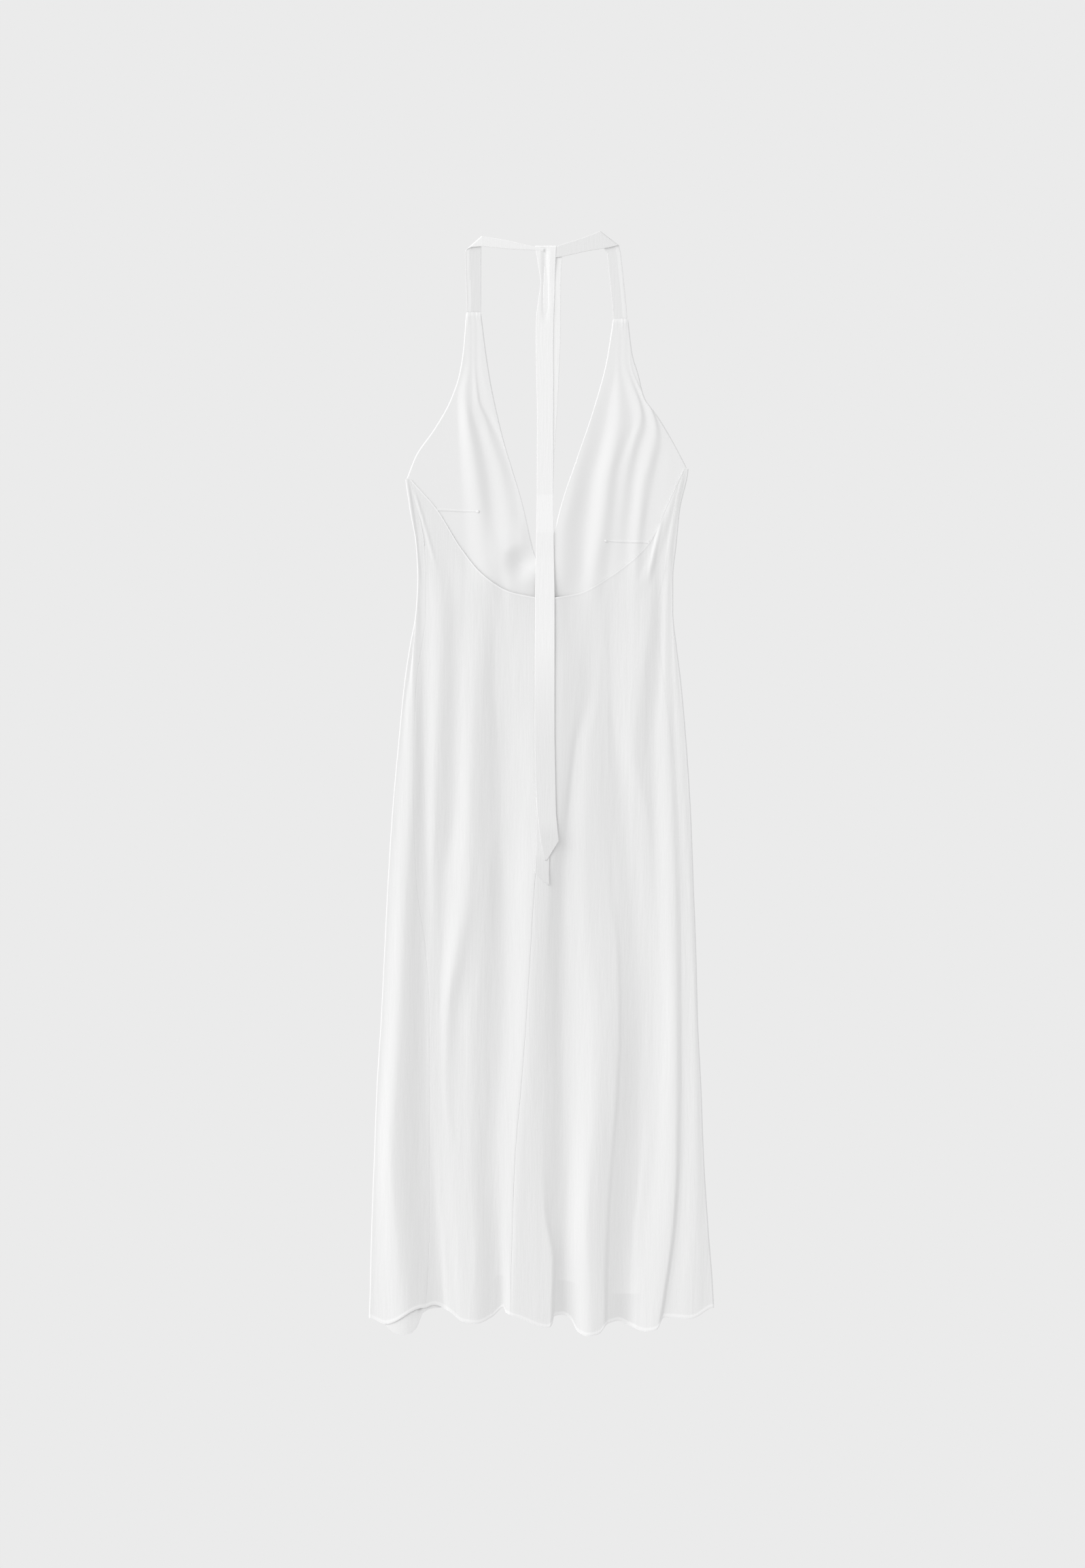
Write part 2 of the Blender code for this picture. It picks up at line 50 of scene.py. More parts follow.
PHOTO_HEIGHT_PIXELS = 2306
CAMERA_HEIGHT_MM = 4000
SENSOR_MM = 36
bpy.ops.object.select_all(action="DESELECT")
bpy.ops.object.camera_add(location=(1.2 * MM, -1.2 * MM, CAMERA_HEIGHT_MM * MM), rotation=(0, 0, 0))
camera = bpy.context.object
camera.data.sensor_width = SENSOR_MM
camera.data.lens = SENSOR_MM * CAMERA_HEIGHT_MM / (PHOTO_HEIGHT_PIXELS * PIXEL_MM)
bpy.context.scene.camera = camera


# Back. Two long panels of crinkled crepe, cut to a low scoop at the top and joined by a seam down the
# middle. They hang in long soft folds that widen to the hem, which is turned up narrow and stitched.
Section = namedtuple("Section", "y left_edge left_seam centre_seam right_seam right_edge")
SECTIONS = [
    Section(372, -161, -155.5, 5, 167.5, 173),
    Section(321, -155, -145, 5, 157.5, 163),
    Section(281, -148, -138, 5, 151, 159),
    Section(241, -146, -136, 5, 144, 155),
    Section(201, -148, -136, 5, 137, 155),
    Section(161, -155, -141, 4, 139, 159),
    Section(121, -161, -147, 4, 144, 164),
    Section(41, -169, -150, 2, 155, 171),
    Section(-39, -176, -150, 0, 161, 176),
    Section(-119, -181, -147, -8, 163, 179),
    Section(-199, -185, -136, -13, 164, 182),
    Section(-279, -189, -132, -18, 164, 184),
    Section(-359, -194, -132, -24, 165, 188),
    Section(-439, -197, -132, -31, 165, 191),
    Section(-519, -200, -132, -34, 162, 196),
    Section(-599, -202, -135, -36, 151, 202),
    Section(-640, -203, -140, -36, 144, 203.5),
]
LEFT_UNDERARM_Y = 357.0
RIGHT_UNDERARM_Y = 369.0
SIDE_SEAM_GAP = 0.02
CENTRE_SEAM_GAP = 0.12
BACK_NECK = (5.0, 216.5)
NECKLINE_LEFT = [(-145, 347), (-124, 323), (-94, 275), (-68, 244), (-35, 224)]
NECKLINE_RIGHT = [(43, 223), (85, 246), (115, 270), (130, 288), (148, 328)]
BACK_HEM = [
    (-140, -616.5),
    (-126, -613),
    (-108, -621),
    (-91, -633),
    (-76, -634.5),
    (-58, -627),
    (-44, -616),
    (-42, -622),
    (-25, -628.5),
    (8, -639.5),
    (12.5, -636),
    (15, -626),
    (24, -625),
    (34, -630),
    (43, -645),
    (54, -649.5),
    (67, -647),
    (78, -635),
    (90, -632),
    (104, -638),
    (122, -644.5),
    (135, -642),
    (144, -627.5),
]
BACK_TOP_Z = 3.6
NECKLINE_LOFT = -0.6
SKIRT_LOFT = 0.6
SKIRT_FULLNESS = 1.3
LOFT_TOP_Y = 256.5
LOFT_RAMP = 140.0
FOLDS_TOP_Y = 340
FOLDS_RAMP = 120

# The folds of the skirt. Each line follows a crest or a valley down the dress, and the cloth between two
# lines eases from the height of one to that of the next. Places are (Y, X, height over the lining).
SKIRT_LINES = {
    "left_edge": [(370, -161, 0.6), (200, -148, 0.4), (40, -169, 0.4), (-120, -181, 0.4), (-280, -189, 0.4),
                  (-440, -197, 0.5), (-650, -203, 0.8)],
    "left_flute": [(370, -158, 1.0), (200, -151, 1.0), (40, -151, 2.6), (-120, -159, 3.6),
                   (-280, -166, 4.5),
                   (-440, -174, 5.5), (-560, -166, 6.0), (-650, -158, 6.4)],
    "left_seam_valley": [(370, -154, 0.3), (200, -141, 0.4), (40, -138, 0.6), (-120, -136, 0.6),
                         (-280, -134, 0.5), (-440, -129, 0.3), (-560, -120, 0.3), (-650, -114, 0.5)],
    "left_hip": [(370, -150, 0.4), (280, -128, 0.8), (200, -117, 2.4), (120, -119, 2.8), (-40, -125, 2.2),
                 (-120, -126, 1.4), (-280, -126, 0.8), (-440, -120, 0.9), (-560, -112, 1.5),
                 (-650, -107, 2.0)],
    "left_hip_valley": [(280, -112, 0.5), (200, -100, 1.2), (120, -101, 1.2), (-40, -105, 0.5),
                        (-120, -115, 0.9), (-280, -120, 1.1), (-440, -114, 1.5), (-560, -105, 2.4),
                        (-650, -101, 2.8)],
    "left_long": [(280, -100, 0.6), (200, -70, 2.2), (120, -77, 3.4), (-40, -83, 3.8), (-120, -85, 4.8),
                  (-200, -99, 4.4), (-280, -110, 2.6), (-360, -111, 2.0), (-440, -106, 2.3),
                  (-560, -98, 3.4),
                  (-650, -95, 3.6)],
    "left_gap": [(280, -80, 0.6), (200, -65, 2.1), (120, -70, 3.2), (-40, -75, 3.4), (-120, -75, 4.2),
                 (-200, -86, 3.4), (-280, -98, 1.9), (-360, -101, 2.1), (-440, -98, 2.9), (-560, -90, 4.0),
                 (-650, -89, 4.2)],
    "left_knee": [(280, -70, 0.6), (200, -61, 1.9), (120, -63, 2.4), (-40, -65, 2.2), (-120, -65, 3.2),
                  (-200, -72, 2.9), (-280, -81, 2.8), (-440, -82, 3.6), (-560, -78, 4.6), (-650, -80, 4.8)],
    "left_deep": [(280, -50, 0.5), (200, -52, 1.6), (120, -54, 1.4), (40, -47, 0.4), (-120, -45, 0.2),
                  (-280, -47, 0.3), (-440, -56, 1.6), (-520, -52, 1.7), (-600, -48, 1.5), (-650, -47, 1.5)],
    "centre_left": [(280, -12, 0.4), (200, -6, 2.2), (120, 2, 3.6), (-40, 2, 4.0), (-120, -7, 4.8),
                    (-280, -11, 4.6), (-440, -22, 5.2), (-520, -28, 4.8), (-600, -33, 4.4),
                    (-650, -34, 4.3)],
    "centre_right": [(280, 22, 0.4), (200, 18, 2.2), (120, 20, 3.6), (-40, 20, 3.8), (-120, 8, 4.2),
                     (-280, 3, 3.8), (-440, -1, 4.8), (-500, 3, 5.0), (-560, 13, 5.0), (-650, 11, 5.0)],
    "centre_step": [(280, 30, 0.4), (200, 34, 1.2), (120, 38, 2.6), (-40, 26, 2.6), (-120, 15, 2.6),
                    (-280, 12, 2.4), (-440, 9, 3.6), (-500, 8, 3.8), (-560, 16.5, 3.4), (-650, 14.5, 3.2)],
    "right_gap": [(280, 40, 0.4), (200, 58, 0.6), (120, 60, 0.9), (40, 40, 1.4), (-40, 32, 1.2),
                  (-120, 27, 0.4), (-280, 26, 0.3), (-440, 28, 1.0), (-560, 28, 0.6), (-650, 30, 0.3)],
    "right_long": [(280, 60, 0.4), (200, 66, 0.7), (120, 68, 1.0), (40, 56, 2.2), (-40, 53, 2.8),
                   (-120, 54, 2.4), (-200, 62, 3.0), (-280, 70, 4.4), (-360, 68, 5.4), (-440, 61, 6.0),
                   (-520, 56, 6.2), (-600, 58, 5.4), (-650, 58, 5.2)],
    "right_long_edge": [(280, 76, 0.4), (200, 72, 0.6), (120, 73, 0.8), (40, 68, 1.8), (-40, 68, 2.3),
                        (-120, 76, 2.0), (-200, 88, 2.6), (-280, 90, 3.8), (-360, 87.5, 4.6),
                        (-440, 81, 4.8), (-520, 76, 5.0), (-600, 74, 4.6), (-650, 74, 4.4)],
    "right_long_foot": [(280, 82, 0.4), (200, 76, 0.5), (120, 77, 0.6), (40, 76, 1.2), (-40, 80, 1.4),
                        (-120, 88, 1.2), (-200, 94, 1.6), (-280, 94.5, 2.8), (-360, 91.5, 3.5),
                        (-440, 85, 3.7), (-520, 80, 3.8), (-600, 77.5, 3.3), (-650, 77.5, 3.1)],
    "right_deep": [(280, 90, 0.4), (200, 80, 0.3), (120, 81, 0.3), (40, 88, 0.3), (-40, 96, 0.3),
                   (-120, 106, 0.2), (-280, 119, 0.2), (-440, 115, 0.2), (-560, 105, 0.2),
                   (-650, 100, 0.2)],
    "right_hip": [(300, 125, 0.6), (200, 126, 1.8), (120, 116, 2.4), (40, 109, 2.2), (-40, 122, 1.4),
                  (-120, 126, 1.0), (-280, 130, 0.6), (-650, 106, 0.8)],
    "right_hip_valley": [(300, 138, 0.3), (200, 140, 0.5), (120, 137, 0.5), (40, 131, 0.6), (-40, 132, 0.8),
                         (-120, 134, 1.2), (-280, 140, 1.6), (-440, 132, 1.6), (-650, 112, 2.2)],
    "right_seam": [(370, 160, 0.8), (200, 147, 1.2), (120, 146, 1.6), (40, 150, 2.4), (-120, 156, 3.6),
                   (-280, 158, 4.4), (-440, 158, 4.8), (-520, 154, 5.0), (-600, 143.5, 5.0),
                   (-650, 137, 5.0)],
    "right_wrap_valley": [(370, 166, 0.5), (200, 152, 1.0), (40, 157, 1.9), (-120, 163, 2.8),
                          (-280, 166, 3.2), (-440, 163, 3.4), (-520, 158, 3.5), (-600, 147, 3.5),
                          (-650, 140.5, 3.5)],
    "right_side": [(370, 170, 0.8), (200, 155, 1.2), (40, 164, 2.2), (-120, 174, 3.0), (-280, 180, 3.8),
                   (-440, 182, 4.4), (-560, 180, 5.0), (-650, 178, 5.2)],
    "right_edge": [(370, 173, 1.2), (200, 155, 1.2), (40, 171, 2.0), (-120, 179, 2.6), (-280, 184, 3.4),
                   (-440, 191, 3.8), (-560, 199, 4.2), (-650, 204, 4.4)],
}

# Short folds. A crest runs down through three points, and its rise and its reach change on the way.
Fold = namedtuple(
    "Fold",
    "name y_top x_top x_middle x_foot y_foot rise_top rise_foot"
    " left_top left_foot right_top right_foot",
)
SKIRT_FOLDS = [
    Fold("left_drag_side", 366, -160, -149, -143, 215, 1.1, 0.9, 3, 5, 3, 5),
    Fold("left_drag_upper", 350, -152, -136, -122, 245, 0.8, 0.6, 3, 4, 3, 5),
    Fold("right_drag_main", 372, 166, 141, 112, 215, 0.7, 0.8, 5, 10, 6, 12),
    Fold("right_drag_side", 372, 169, 155, 147, 240, 0.7, 0.6, 3, 5, 4, 6),
    Fold("right_drag_inner", 320, 144, 133, 125, 230, 0.8, 0.8, 3, 5, 4, 6),
]

# The same for the cups, which hang in soft folds from the ties. A hollow is pressed in beside the V
LEFT_CUP_LINES = {
    "armhole": [(520, -95, 0.3), (450, -110, 0.3), (400, -140, 0.3), (200, -150, 0.3)],
    "main_foot": [(500, -90, 0.4), (450, -100, 0.4), (393, -98, 0.4), (329, -94, 0.4), (297, -92, 0.4),
                  (200, -90, 0.4)],
    "main": [(500, -84, 0.8), (457, -89, 1.6), (425, -86.5, 2.2), (393, -81.5, 2.4), (361, -77, 2.4),
             (329, -72.5, 2.2), (297, -69, 2.0), (250, -62, 2.2), (200, -56, 0.8)],
    "main_valley": [(500, -82, 0.7), (441, -81, 1.2), (409, -72.5, 0.6), (384, -66.5, 0.5), (355, -61, 0.4),
                    (329, -58, 0.6), (297, -55, 1.4), (265, -50, 2.2), (200, -46, 0.6)],
    "second": [(500, -79, 0.8), (451, -75, 1.5), (428, -67, 1.5), (400, -59, 1.4), (371, -49, 1.3),
               (342, -43, 1.4), (313, -38, 1.9), (285, -36, 2.7), (250, -36, 2.6), (200, -34, 0.9)],
    "neck_valley": [(500, -76, 0.6), (451, -72, 0.9), (425, -60, 0.6), (396, -47, 0.5), (368, -37.5, 0.5),
                    (342, -30, 0.8), (313, -26, 1.4), (285, -25, 2.6), (250, -22, 2.5), (200, -20, 0.9)],
    "neck_edge": [(500, -70, 1.0), (451, -60, 1.3), (425, -52, 1.2), (396, -40, 1.0), (368, -31, 0.9),
                  (342, -24, 1.0), (313, -18, 1.4), (285, -10, 1.7), (250, 0, 1.3), (200, 0, 0.7)],
}
RIGHT_CUP_LINES = {
    "v_edge": [(500, 76, 0.6), (432, 52, 0.9), (361, 30, 1.5), (329, 21, 1.9), (297, 14, 2.0),
               (249, 8, 1.9),
               (200, 4, 0.7)],
    "neck_edge": [(500, 80, 0.6), (432, 60, 1.0), (393, 49, 1.3), (361, 39, 1.7), (329, 32, 2.2),
                  (297, 25, 2.4), (249, 22, 2.3), (200, 16, 0.8)],
    "neck_valley": [(500, 86, 0.6), (435, 76, 0.5), (393, 67, 0.3), (361, 59, 0.2), (329, 54, 0.1),
                    (297, 50, 0.1), (249, 47, 0.1), (200, 42, 0.4)],
    "main": [(500, 90, 0.7), (435, 92, 1.9), (393, 86, 2.3), (361, 79, 2.4), (329, 75, 2.4), (297, 71, 2.3),
             (256, 64, 1.8), (200, 60, 0.8)],
    "main_valley": [(500, 93, 0.6), (422, 106, 1.2), (393, 98, 1.1), (368, 91.5, 1.1), (329, 87.5, 1.0),
                    (297, 85, 0.9), (250, 80, 0.4), (200, 76, 0.5)],
    "second": [(500, 98, 0.8), (432, 117, 1.9), (400, 108.5, 1.7), (368, 100.5, 1.4), (329, 94.5, 1.1),
               (297, 91, 0.9), (250, 86, 0.5), (200, 84, 0.5)],
    "second_valley": [(500, 102, 0.7), (422, 123, 1.0), (393, 115, 0.7), (361, 108.5, 0.5), (329, 105, 0.4),
                      (297, 101, 0.4), (272, 100, 0.4), (200, 98, 0.4)],
    "side": [(500, 104, 0.8), (416, 134.5, 1.8), (380, 127.5, 1.8), (348, 119.5, 1.7), (316, 116.5, 1.6),
             (272, 112, 1.3), (200, 110, 0.6)],
    "side_valley": [(500, 106, 0.6), (403, 142, 0.9), (377, 137, 0.6), (342, 130, 0.5), (304, 123, 0.4),
                    (200, 120, 0.4)],
    "armhole": [(500, 110, 0.6), (403, 150, 0.9), (377, 152, 0.9), (342, 150, 0.8), (200, 150, 0.5)],
}
HOLLOW = (-24.0, 258.0)
HOLLOW_REACH = (23.0, 25.0)
HOLLOW_DEPTH = 5.0
CUP_FULLNESS = 1.45
CUP_FADE = (150.0, 90.0)
SHARP_DEGREES = 50
RIPPLES = np.random.default_rng(11).uniform(-1, 1, (400, 120))


def ease(share):
    """An S-shaped ramp from 0 to 1."""
    share = np.clip(share, 0, 1)
    return share * share * (3 - 2 * share)


def blend(start, end, share):
    """The value a share of the way from start to end."""
    return start + (end - start) * share


def gentle_slopes(known, values):
    """The slope at each known place: level at every top and bottom."""
    steps = np.diff(values, axis=0) / np.maximum(np.diff(known, axis=0), 0.5)
    before, after = steps[:-1], steps[1:]
    product = before * after
    both = np.where(product > 0, 2 * product / np.where(product > 0, before + after, 1), 0)
    return np.concatenate([steps[:1] * 0, both, steps[-1:] * 0])


def smooth_line(at, known, values):
    """Reads values at other places along a smooth line through the known ones, without overshooting."""
    known = np.asarray(known, float)
    values = np.asarray(values, float)
    slopes = gentle_slopes(known, values)
    i = np.clip(np.searchsorted(known, at) - 1, 0, len(known) - 2)
    span = known[i + 1] - known[i]
    t = np.clip((at - known[i]) / span, 0, 1)
    start = (1 + 2 * t) * (1 - t) ** 2 * values[i] + t * (1 - t) ** 2 * span * slopes[i]
    return start + t * t * (3 - 2 * t) * values[i + 1] + t * t * (t - 1) * span * slopes[i + 1]


def section_x(y, column):
    """The X of the outline or a seam at a height on the dress."""
    rows = SECTIONS[::-1]
    return smooth_line(y, [row.y for row in rows], [getattr(row, column) for row in rows])


def hem_y(x, points):
    """The Y of a hem at x."""
    return smooth_line(x, [point[0] for point in points], [point[1] for point in points])


def cut_line(points, share):
    """A point a share of the way along a smooth cut through the points."""
    steps = np.arange(len(points))
    at = np.asarray(share) * (len(points) - 1)
    return (
        smooth_line(at, steps, [point[0] for point in points]),
        smooth_line(at, steps, [point[1] for point in points]),
    )


def fold_rise(fold, x, y):
    """How far a fold lifts the cloth."""
    t = (fold.y_top - y) / (fold.y_top - fold.y_foot)
    run = np.clip(t, 0, 1)
    bend = 2 * (fold.x_top + fold.x_foot - 2 * fold.x_middle)
    crest = fold.x_top + run * (fold.x_foot - fold.x_top - bend) + run * run * bend
    left = blend(fold.left_top, fold.left_foot, run)
    right = blend(fold.right_top, fold.right_foot, run)
    away = np.minimum(np.abs(x - crest) / np.where(x < crest, left, right), 1)
    height = blend(fold.rise_top, fold.rise_foot, run) * ease(t / 0.2) * ease((1 - t) / 0.3)
    return height * 0.5 * (1 + np.cos(math.pi * away))


def cloth_between(lines):
    """Gives a function for how far the cloth is lifted between crest and valley lines."""
    step = 0.5
    stations = np.arange(-660.0, 561.0, step)
    known = [np.array(places[::-1], float).T for places in lines.values()]
    line_x = np.maximum.accumulate([smooth_line(stations, place[0], place[1]) for place in known], axis=0)
    line_rise = np.array([smooth_line(stations, place[0], place[2]) for place in known])
    line_slope = gentle_slopes(line_x, line_rise)

    def rise(x, y):
        at = np.clip((y - stations[0]) / step, 0, len(stations) - 1.001)
        station = np.floor(at).astype(int)
        share = at - station
        xs = blend(line_x[:, station], line_x[:, station + 1], share)
        left = np.clip(np.sum(xs < x, axis=0) - 1, 0, len(xs) - 2)
        start, end = (np.take_along_axis(xs, (left + i)[None], 0)[0] for i in (0, 1))
        low, high = (line_rise[left + i, station] for i in (0, 1))
        low_slope, high_slope = (line_slope[left + i, station] for i in (0, 1))
        span = np.maximum(end - start, 0.5)
        t = np.clip((x - start) / span, 0, 1)
        sloping = t * (1 - t) * span * ((1 - t) * low_slope - t * high_slope)
        return blend(low, high, ease(t)) + sloping

    return rise


skirt_rise = cloth_between(SKIRT_LINES)
left_cup_rise = cloth_between(LEFT_CUP_LINES)
right_cup_rise = cloth_between(RIGHT_CUP_LINES)


def ripple(across, along):
    """Uneven small waves of the cloth, from -1 to 1, one for each step of across and along."""
    height, width = RIPPLES.shape
    row, column = np.floor(across).astype(int), np.floor(along).astype(int)
    s, t = ease(across - row), ease(along - column)
    near = blend(RIPPLES[row % height, column % width], RIPPLES[(row + 1) % height, column % width], s)
    far = blend(
        RIPPLES[row % height, (column + 1) % width], RIPPLES[(row + 1) % height, (column + 1) % width], s
    )
    return blend(near, far, t)


def crinkle(x, y):
    """The crepe's own fine lengthwise crinkle."""
    return 0.09 * ripple(x / 6.0 + 40, y / 60.0 + 20) + 0.05 * ripple(x / 2.9 + 90, y / 26.0 + 60)


def cup_lift(x, y):
    """How far the folds in the cups lift the lining."""
    folds = blend(left_cup_rise(x, y), right_cup_rise(x, y), ease((x + 5) / 20))
    away = np.hypot((x - HOLLOW[0]) / HOLLOW_REACH[0], (y - HOLLOW[1]) / HOLLOW_REACH[1])
    hollow = HOLLOW_DEPTH * ease(1 - away)
    fullness = CUP_FULLNESS * blend(1, 0.35, ease((y - 430) / 90))
    return (fullness * folds - hollow) * ease((y - CUP_FADE[0]) / CUP_FADE[1])


def top_height(x, y):
    """The face of the uppermost layer over the body of the dress."""
    plain = blend(NECKLINE_LOFT, SKIRT_LOFT, ease((LOFT_TOP_Y - y) / LOFT_RAMP))
    folds = SKIRT_FULLNESS * skirt_rise(x, y) * ease((FOLDS_TOP_Y - y) / FOLDS_RAMP)
    folds = folds + sum(fold_rise(fold, x, y) for fold in SKIRT_FOLDS)
    return BACK_TOP_Z + cup_lift(x, y) + plain + folds


def patch(left, right, foot, head):
    """A plan of the space between four edges. Each edge gives X and Y for a share from 0 to 1."""

    def place(u, v):
        found = []
        for axis in (0, 1):
            sides = blend(left(v)[axis], right(v)[axis], u)
            ends = blend(foot(u)[axis], head(u)[axis], v)
            low = blend(foot(0.0)[axis], foot(1.0)[axis], u)
            high = blend(head(0.0)[axis], head(1.0)[axis], u)
            found.append(sides + ends - blend(low, high, v))
        return found[0], found[1]

    return place


def straight(start, end):
    """The straight edge between two points."""
    return lambda t: (blend(start[0], end[0], t), blend(start[1], end[1], t))


def graded(count, length, hem_marks, top_marks):
    """Shares along a length: even steps, with given distances in millimetres close to both ends."""
    low = np.array(hem_marks) / length
    high = 1 - np.array(top_marks)[::-1] / length
    middle = np.linspace(low[-1], high[0], count - len(low) - len(high) + 2)
    return np.concatenate([low, middle[1:-1], high])


def lay_sheet(name, columns, rows, place, wall, faces_down=False, u_marks=None, v_marks=None):
    """Adds a grid, moves each point of it to its place on the dress and gives it its wall.

    place gives X, Y and Z in millimetres and the values that the material reads at each point.
    """
    bpy.ops.object.select_all(action="DESELECT")
    bpy.ops.mesh.primitive_grid_add(x_subdivisions=columns, y_subdivisions=rows, size=1)
    sheet = bpy.context.object
    sheet.name = name
    mesh = sheet.data
    flat = np.empty(len(mesh.vertices) * 3)
    mesh.vertices.foreach_get("co", flat)
    flat = flat.reshape(-1, 3) + 0.5
    u, v = flat[:, 0], flat[:, 1]
    if u_marks is not None:
        u = u_marks[np.rint(u * columns).astype(int)]
    if v_marks is not None:
        v = v_marks[np.rint(v * rows).astype(int)]
    x, y, z, values = place(u, v)
    mesh.vertices.foreach_set("co", (np.stack([x, y, z], axis=1) * MM).ravel())
    for key, value in values.items():
        layer = mesh.attributes.new(key, "FLOAT", "POINT")
        layer.data.foreach_set("value", np.broadcast_to(value, u.shape).astype(float))
    corner_of = np.empty(len(mesh.loops), int)
    mesh.loops.foreach_get("vertex_index", corner_of)
    cut = np.stack([x, y], axis=1)[corner_of] * MM
    mesh.uv_layers.active.data.foreach_set("uv", cut.ravel())
    if faces_down:
        mesh.flip_normals()
    mesh.update()
    if wall:
        add_wall(sheet, wall)
    return sheet


def add_wall(sheet, wall):
    """Gives a sheet its thickness, on the side away from its face."""
    bpy.context.view_layer.objects.active = sheet
    solidify = sheet.modifiers.new("wall", "SOLIDIFY")
    solidify.thickness = wall * MM
    solidify.offset = -1
    bpy.ops.object.modifier_apply(modifier=solidify.name)
    bpy.ops.object.shade_smooth()
    bpy.ops.object.mode_set(mode="EDIT")
    bpy.ops.mesh.select_mode(type="EDGE")
    bpy.ops.mesh.select_all(action="DESELECT")
    bpy.ops.mesh.edges_select_sharp(sharpness=math.radians(SHARP_DEGREES))
    bpy.ops.mesh.mark_sharp()
    bpy.ops.mesh.select_mode(type="VERT")
    bpy.ops.object.mode_set(mode="OBJECT")


def linear(hex_colour):
    """An sRGB hex colour as linear red, green, blue and alpha."""
    values = [int(hex_colour[i : i + 2], 16) / 255 for i in (1, 3, 5)]
    return (*[v / 12.92 if v <= 0.04045 else ((v + 0.055) / 1.055) ** 2.4 for v in values], 1)


def add_node(material, kind, settings=None, links=None):
    """Adds a node, sets its properties and values, and links outputs of other nodes to its inputs."""
    node = material.node_tree.nodes.new(kind)
    for key, value in (settings or {}).items():
        if isinstance(key, str) and hasattr(node, key):
            setattr(node, key, value)
        else:
            node.inputs[key].default_value = value
    for key, output in (links or {}).items():
        material.node_tree.links.new(output, node.inputs[key])
    return node


def new_material(name):
    """A material with only its Principled BSDF and output."""
    material = bpy.data.materials.new(name)
    material.use_nodes = True
    return material, material.node_tree.nodes["Principled BSDF"]


# Polyester crepe: high-twist yarns that pull the cloth into fine uneven lengthwise ridges, matt and slightly
# sheer. It is greyer where it rests on no lining; the same grey, weighted to the skirt's fold valleys, on the
# straps and at the tails' tips, is painted shade. It is whiter where its edge is turned in; the same white is
# a painted highlight on the left band past its fold and on the tails towards the knot.
CREPE_COLOUR = "#F2F2F2"
UNLINED_AND_SHADE_COLOUR = "#ECECEC"
HEM_AND_HIGHLIGHT_COLOUR = "#FDFDFD"
LINING_HEM_Y = -587.0
crepe, crepe_shader = new_material("polyester_crepe")
crepe_uv = add_node(crepe, "ShaderNodeTexCoord").outputs["UV"]
ridge_place = add_node(crepe, "ShaderNodeMapping", {"Scale": (1 / 0.0022, 1 / 0.03, 1)}, {"Vector": crepe_uv})
ridges = add_node(
    crepe, "ShaderNodeTexNoise", {"Scale": 1.0, "Detail": 3.0}, {"Vector": ridge_place.outputs[0]}
)
thread_place = add_node(
    crepe, "ShaderNodeMapping", {"Scale": (1 / 0.0009, 1 / 0.0016, 1)}, {"Vector": crepe_uv}
)
threads = add_node(
    crepe, "ShaderNodeTexNoise", {"Scale": 1.0, "Detail": 1.0}, {"Vector": thread_place.outputs[0]}
)
relief = add_node(
    crepe,
    "ShaderNodeMath",
    {"operation": "MULTIPLY_ADD", 1: 0.25},
    {0: threads.outputs[0], 2: ridges.outputs[0]},
)
crepe_bump = add_node(
    crepe, "ShaderNodeBump", {"Strength": 0.35, "Distance": 0.0006}, {"Height": relief.outputs[0]}
)
below_lining = add_node(crepe, "ShaderNodeAttribute", {"attribute_name": "below_lining_mm"})
past_lining = add_node(
    crepe, "ShaderNodeMapRange", {"From Min": -1.0, "From Max": 1.0}, {"Value": below_lining.outputs["Fac"]}
)
resting = add_node(crepe, "ShaderNodeAttribute", {"attribute_name": "resting"})
# Mix towards the grey: the cloth's own grey below the lining hem, and painted shade where the mask is high
# (fold valleys, straps, tail tips).
unlined_and_painted_shade = add_node(
    crepe,
    "ShaderNodeMath",
    {"operation": "MULTIPLY"},
    {0: past_lining.outputs[0], 1: resting.outputs["Fac"]},
)
lining_and_shade_colour = add_node(
    crepe,
    "ShaderNodeMix",
    {"data_type": "RGBA", 6: linear(CREPE_COLOUR), 7: linear(UNLINED_AND_SHADE_COLOUR)},
    {0: unlined_and_painted_shade.outputs[0]},
)
# Mix towards white: turned-in hems are really whiter; on the left band past its fold and on the tails towards
# the knot the white is a painted highlight.
from_edge = add_node(crepe, "ShaderNodeAttribute", {"attribute_name": "edge_mm"})
turned_in_and_highlight = add_node(
    crepe,
    "ShaderNodeMapRange",
    {"From Min": 3.6, "From Max": 4.8, "To Min": 1.0, "To Max": 0.0},
    {"Value": from_edge.outputs["Fac"]},
)
crepe_colour = add_node(
    crepe,
    "ShaderNodeMix",
    {"data_type": "RGBA", 7: linear(HEM_AND_HIGHLIGHT_COLOUR)},
    {0: turned_in_and_highlight.outputs[0], 6: lining_and_shade_colour.outputs[2]},
)
crepe.node_tree.links.new(crepe_colour.outputs[2], crepe_shader.inputs["Base Color"])
crepe.node_tree.links.new(crepe_bump.outputs[0], crepe_shader.inputs["Normal"])
crepe_shader.inputs["Roughness"].default_value = 0.85
crepe_shader.inputs["Specular IOR Level"].default_value = 0.25
crepe_shader.inputs["Sheen Weight"].default_value = 0.1

BACK_COLUMNS = 100
BACK_ROWS = 240
CREPE_WALL = 0.6
BACK_LENGTH = 950.0
HEM_WIDTH = 4.4
NECK_HEM_WIDTH = 2.0
HEM_RAISE = 0.22
HEM_DROP = 0.4
HEM_WHITE_MM = 4.0
SEAM_DIP = 0.12
SEAM_DIP_REACH = 1.6
LINING_STEPS = [
    (-125, -690),
    (-100, -690),
    (-84, -608),
    (-66, -598),
    (-50, -578),
    (-20, -592),
    (12, -583),
    (36, -586),
    (60, -600),
]
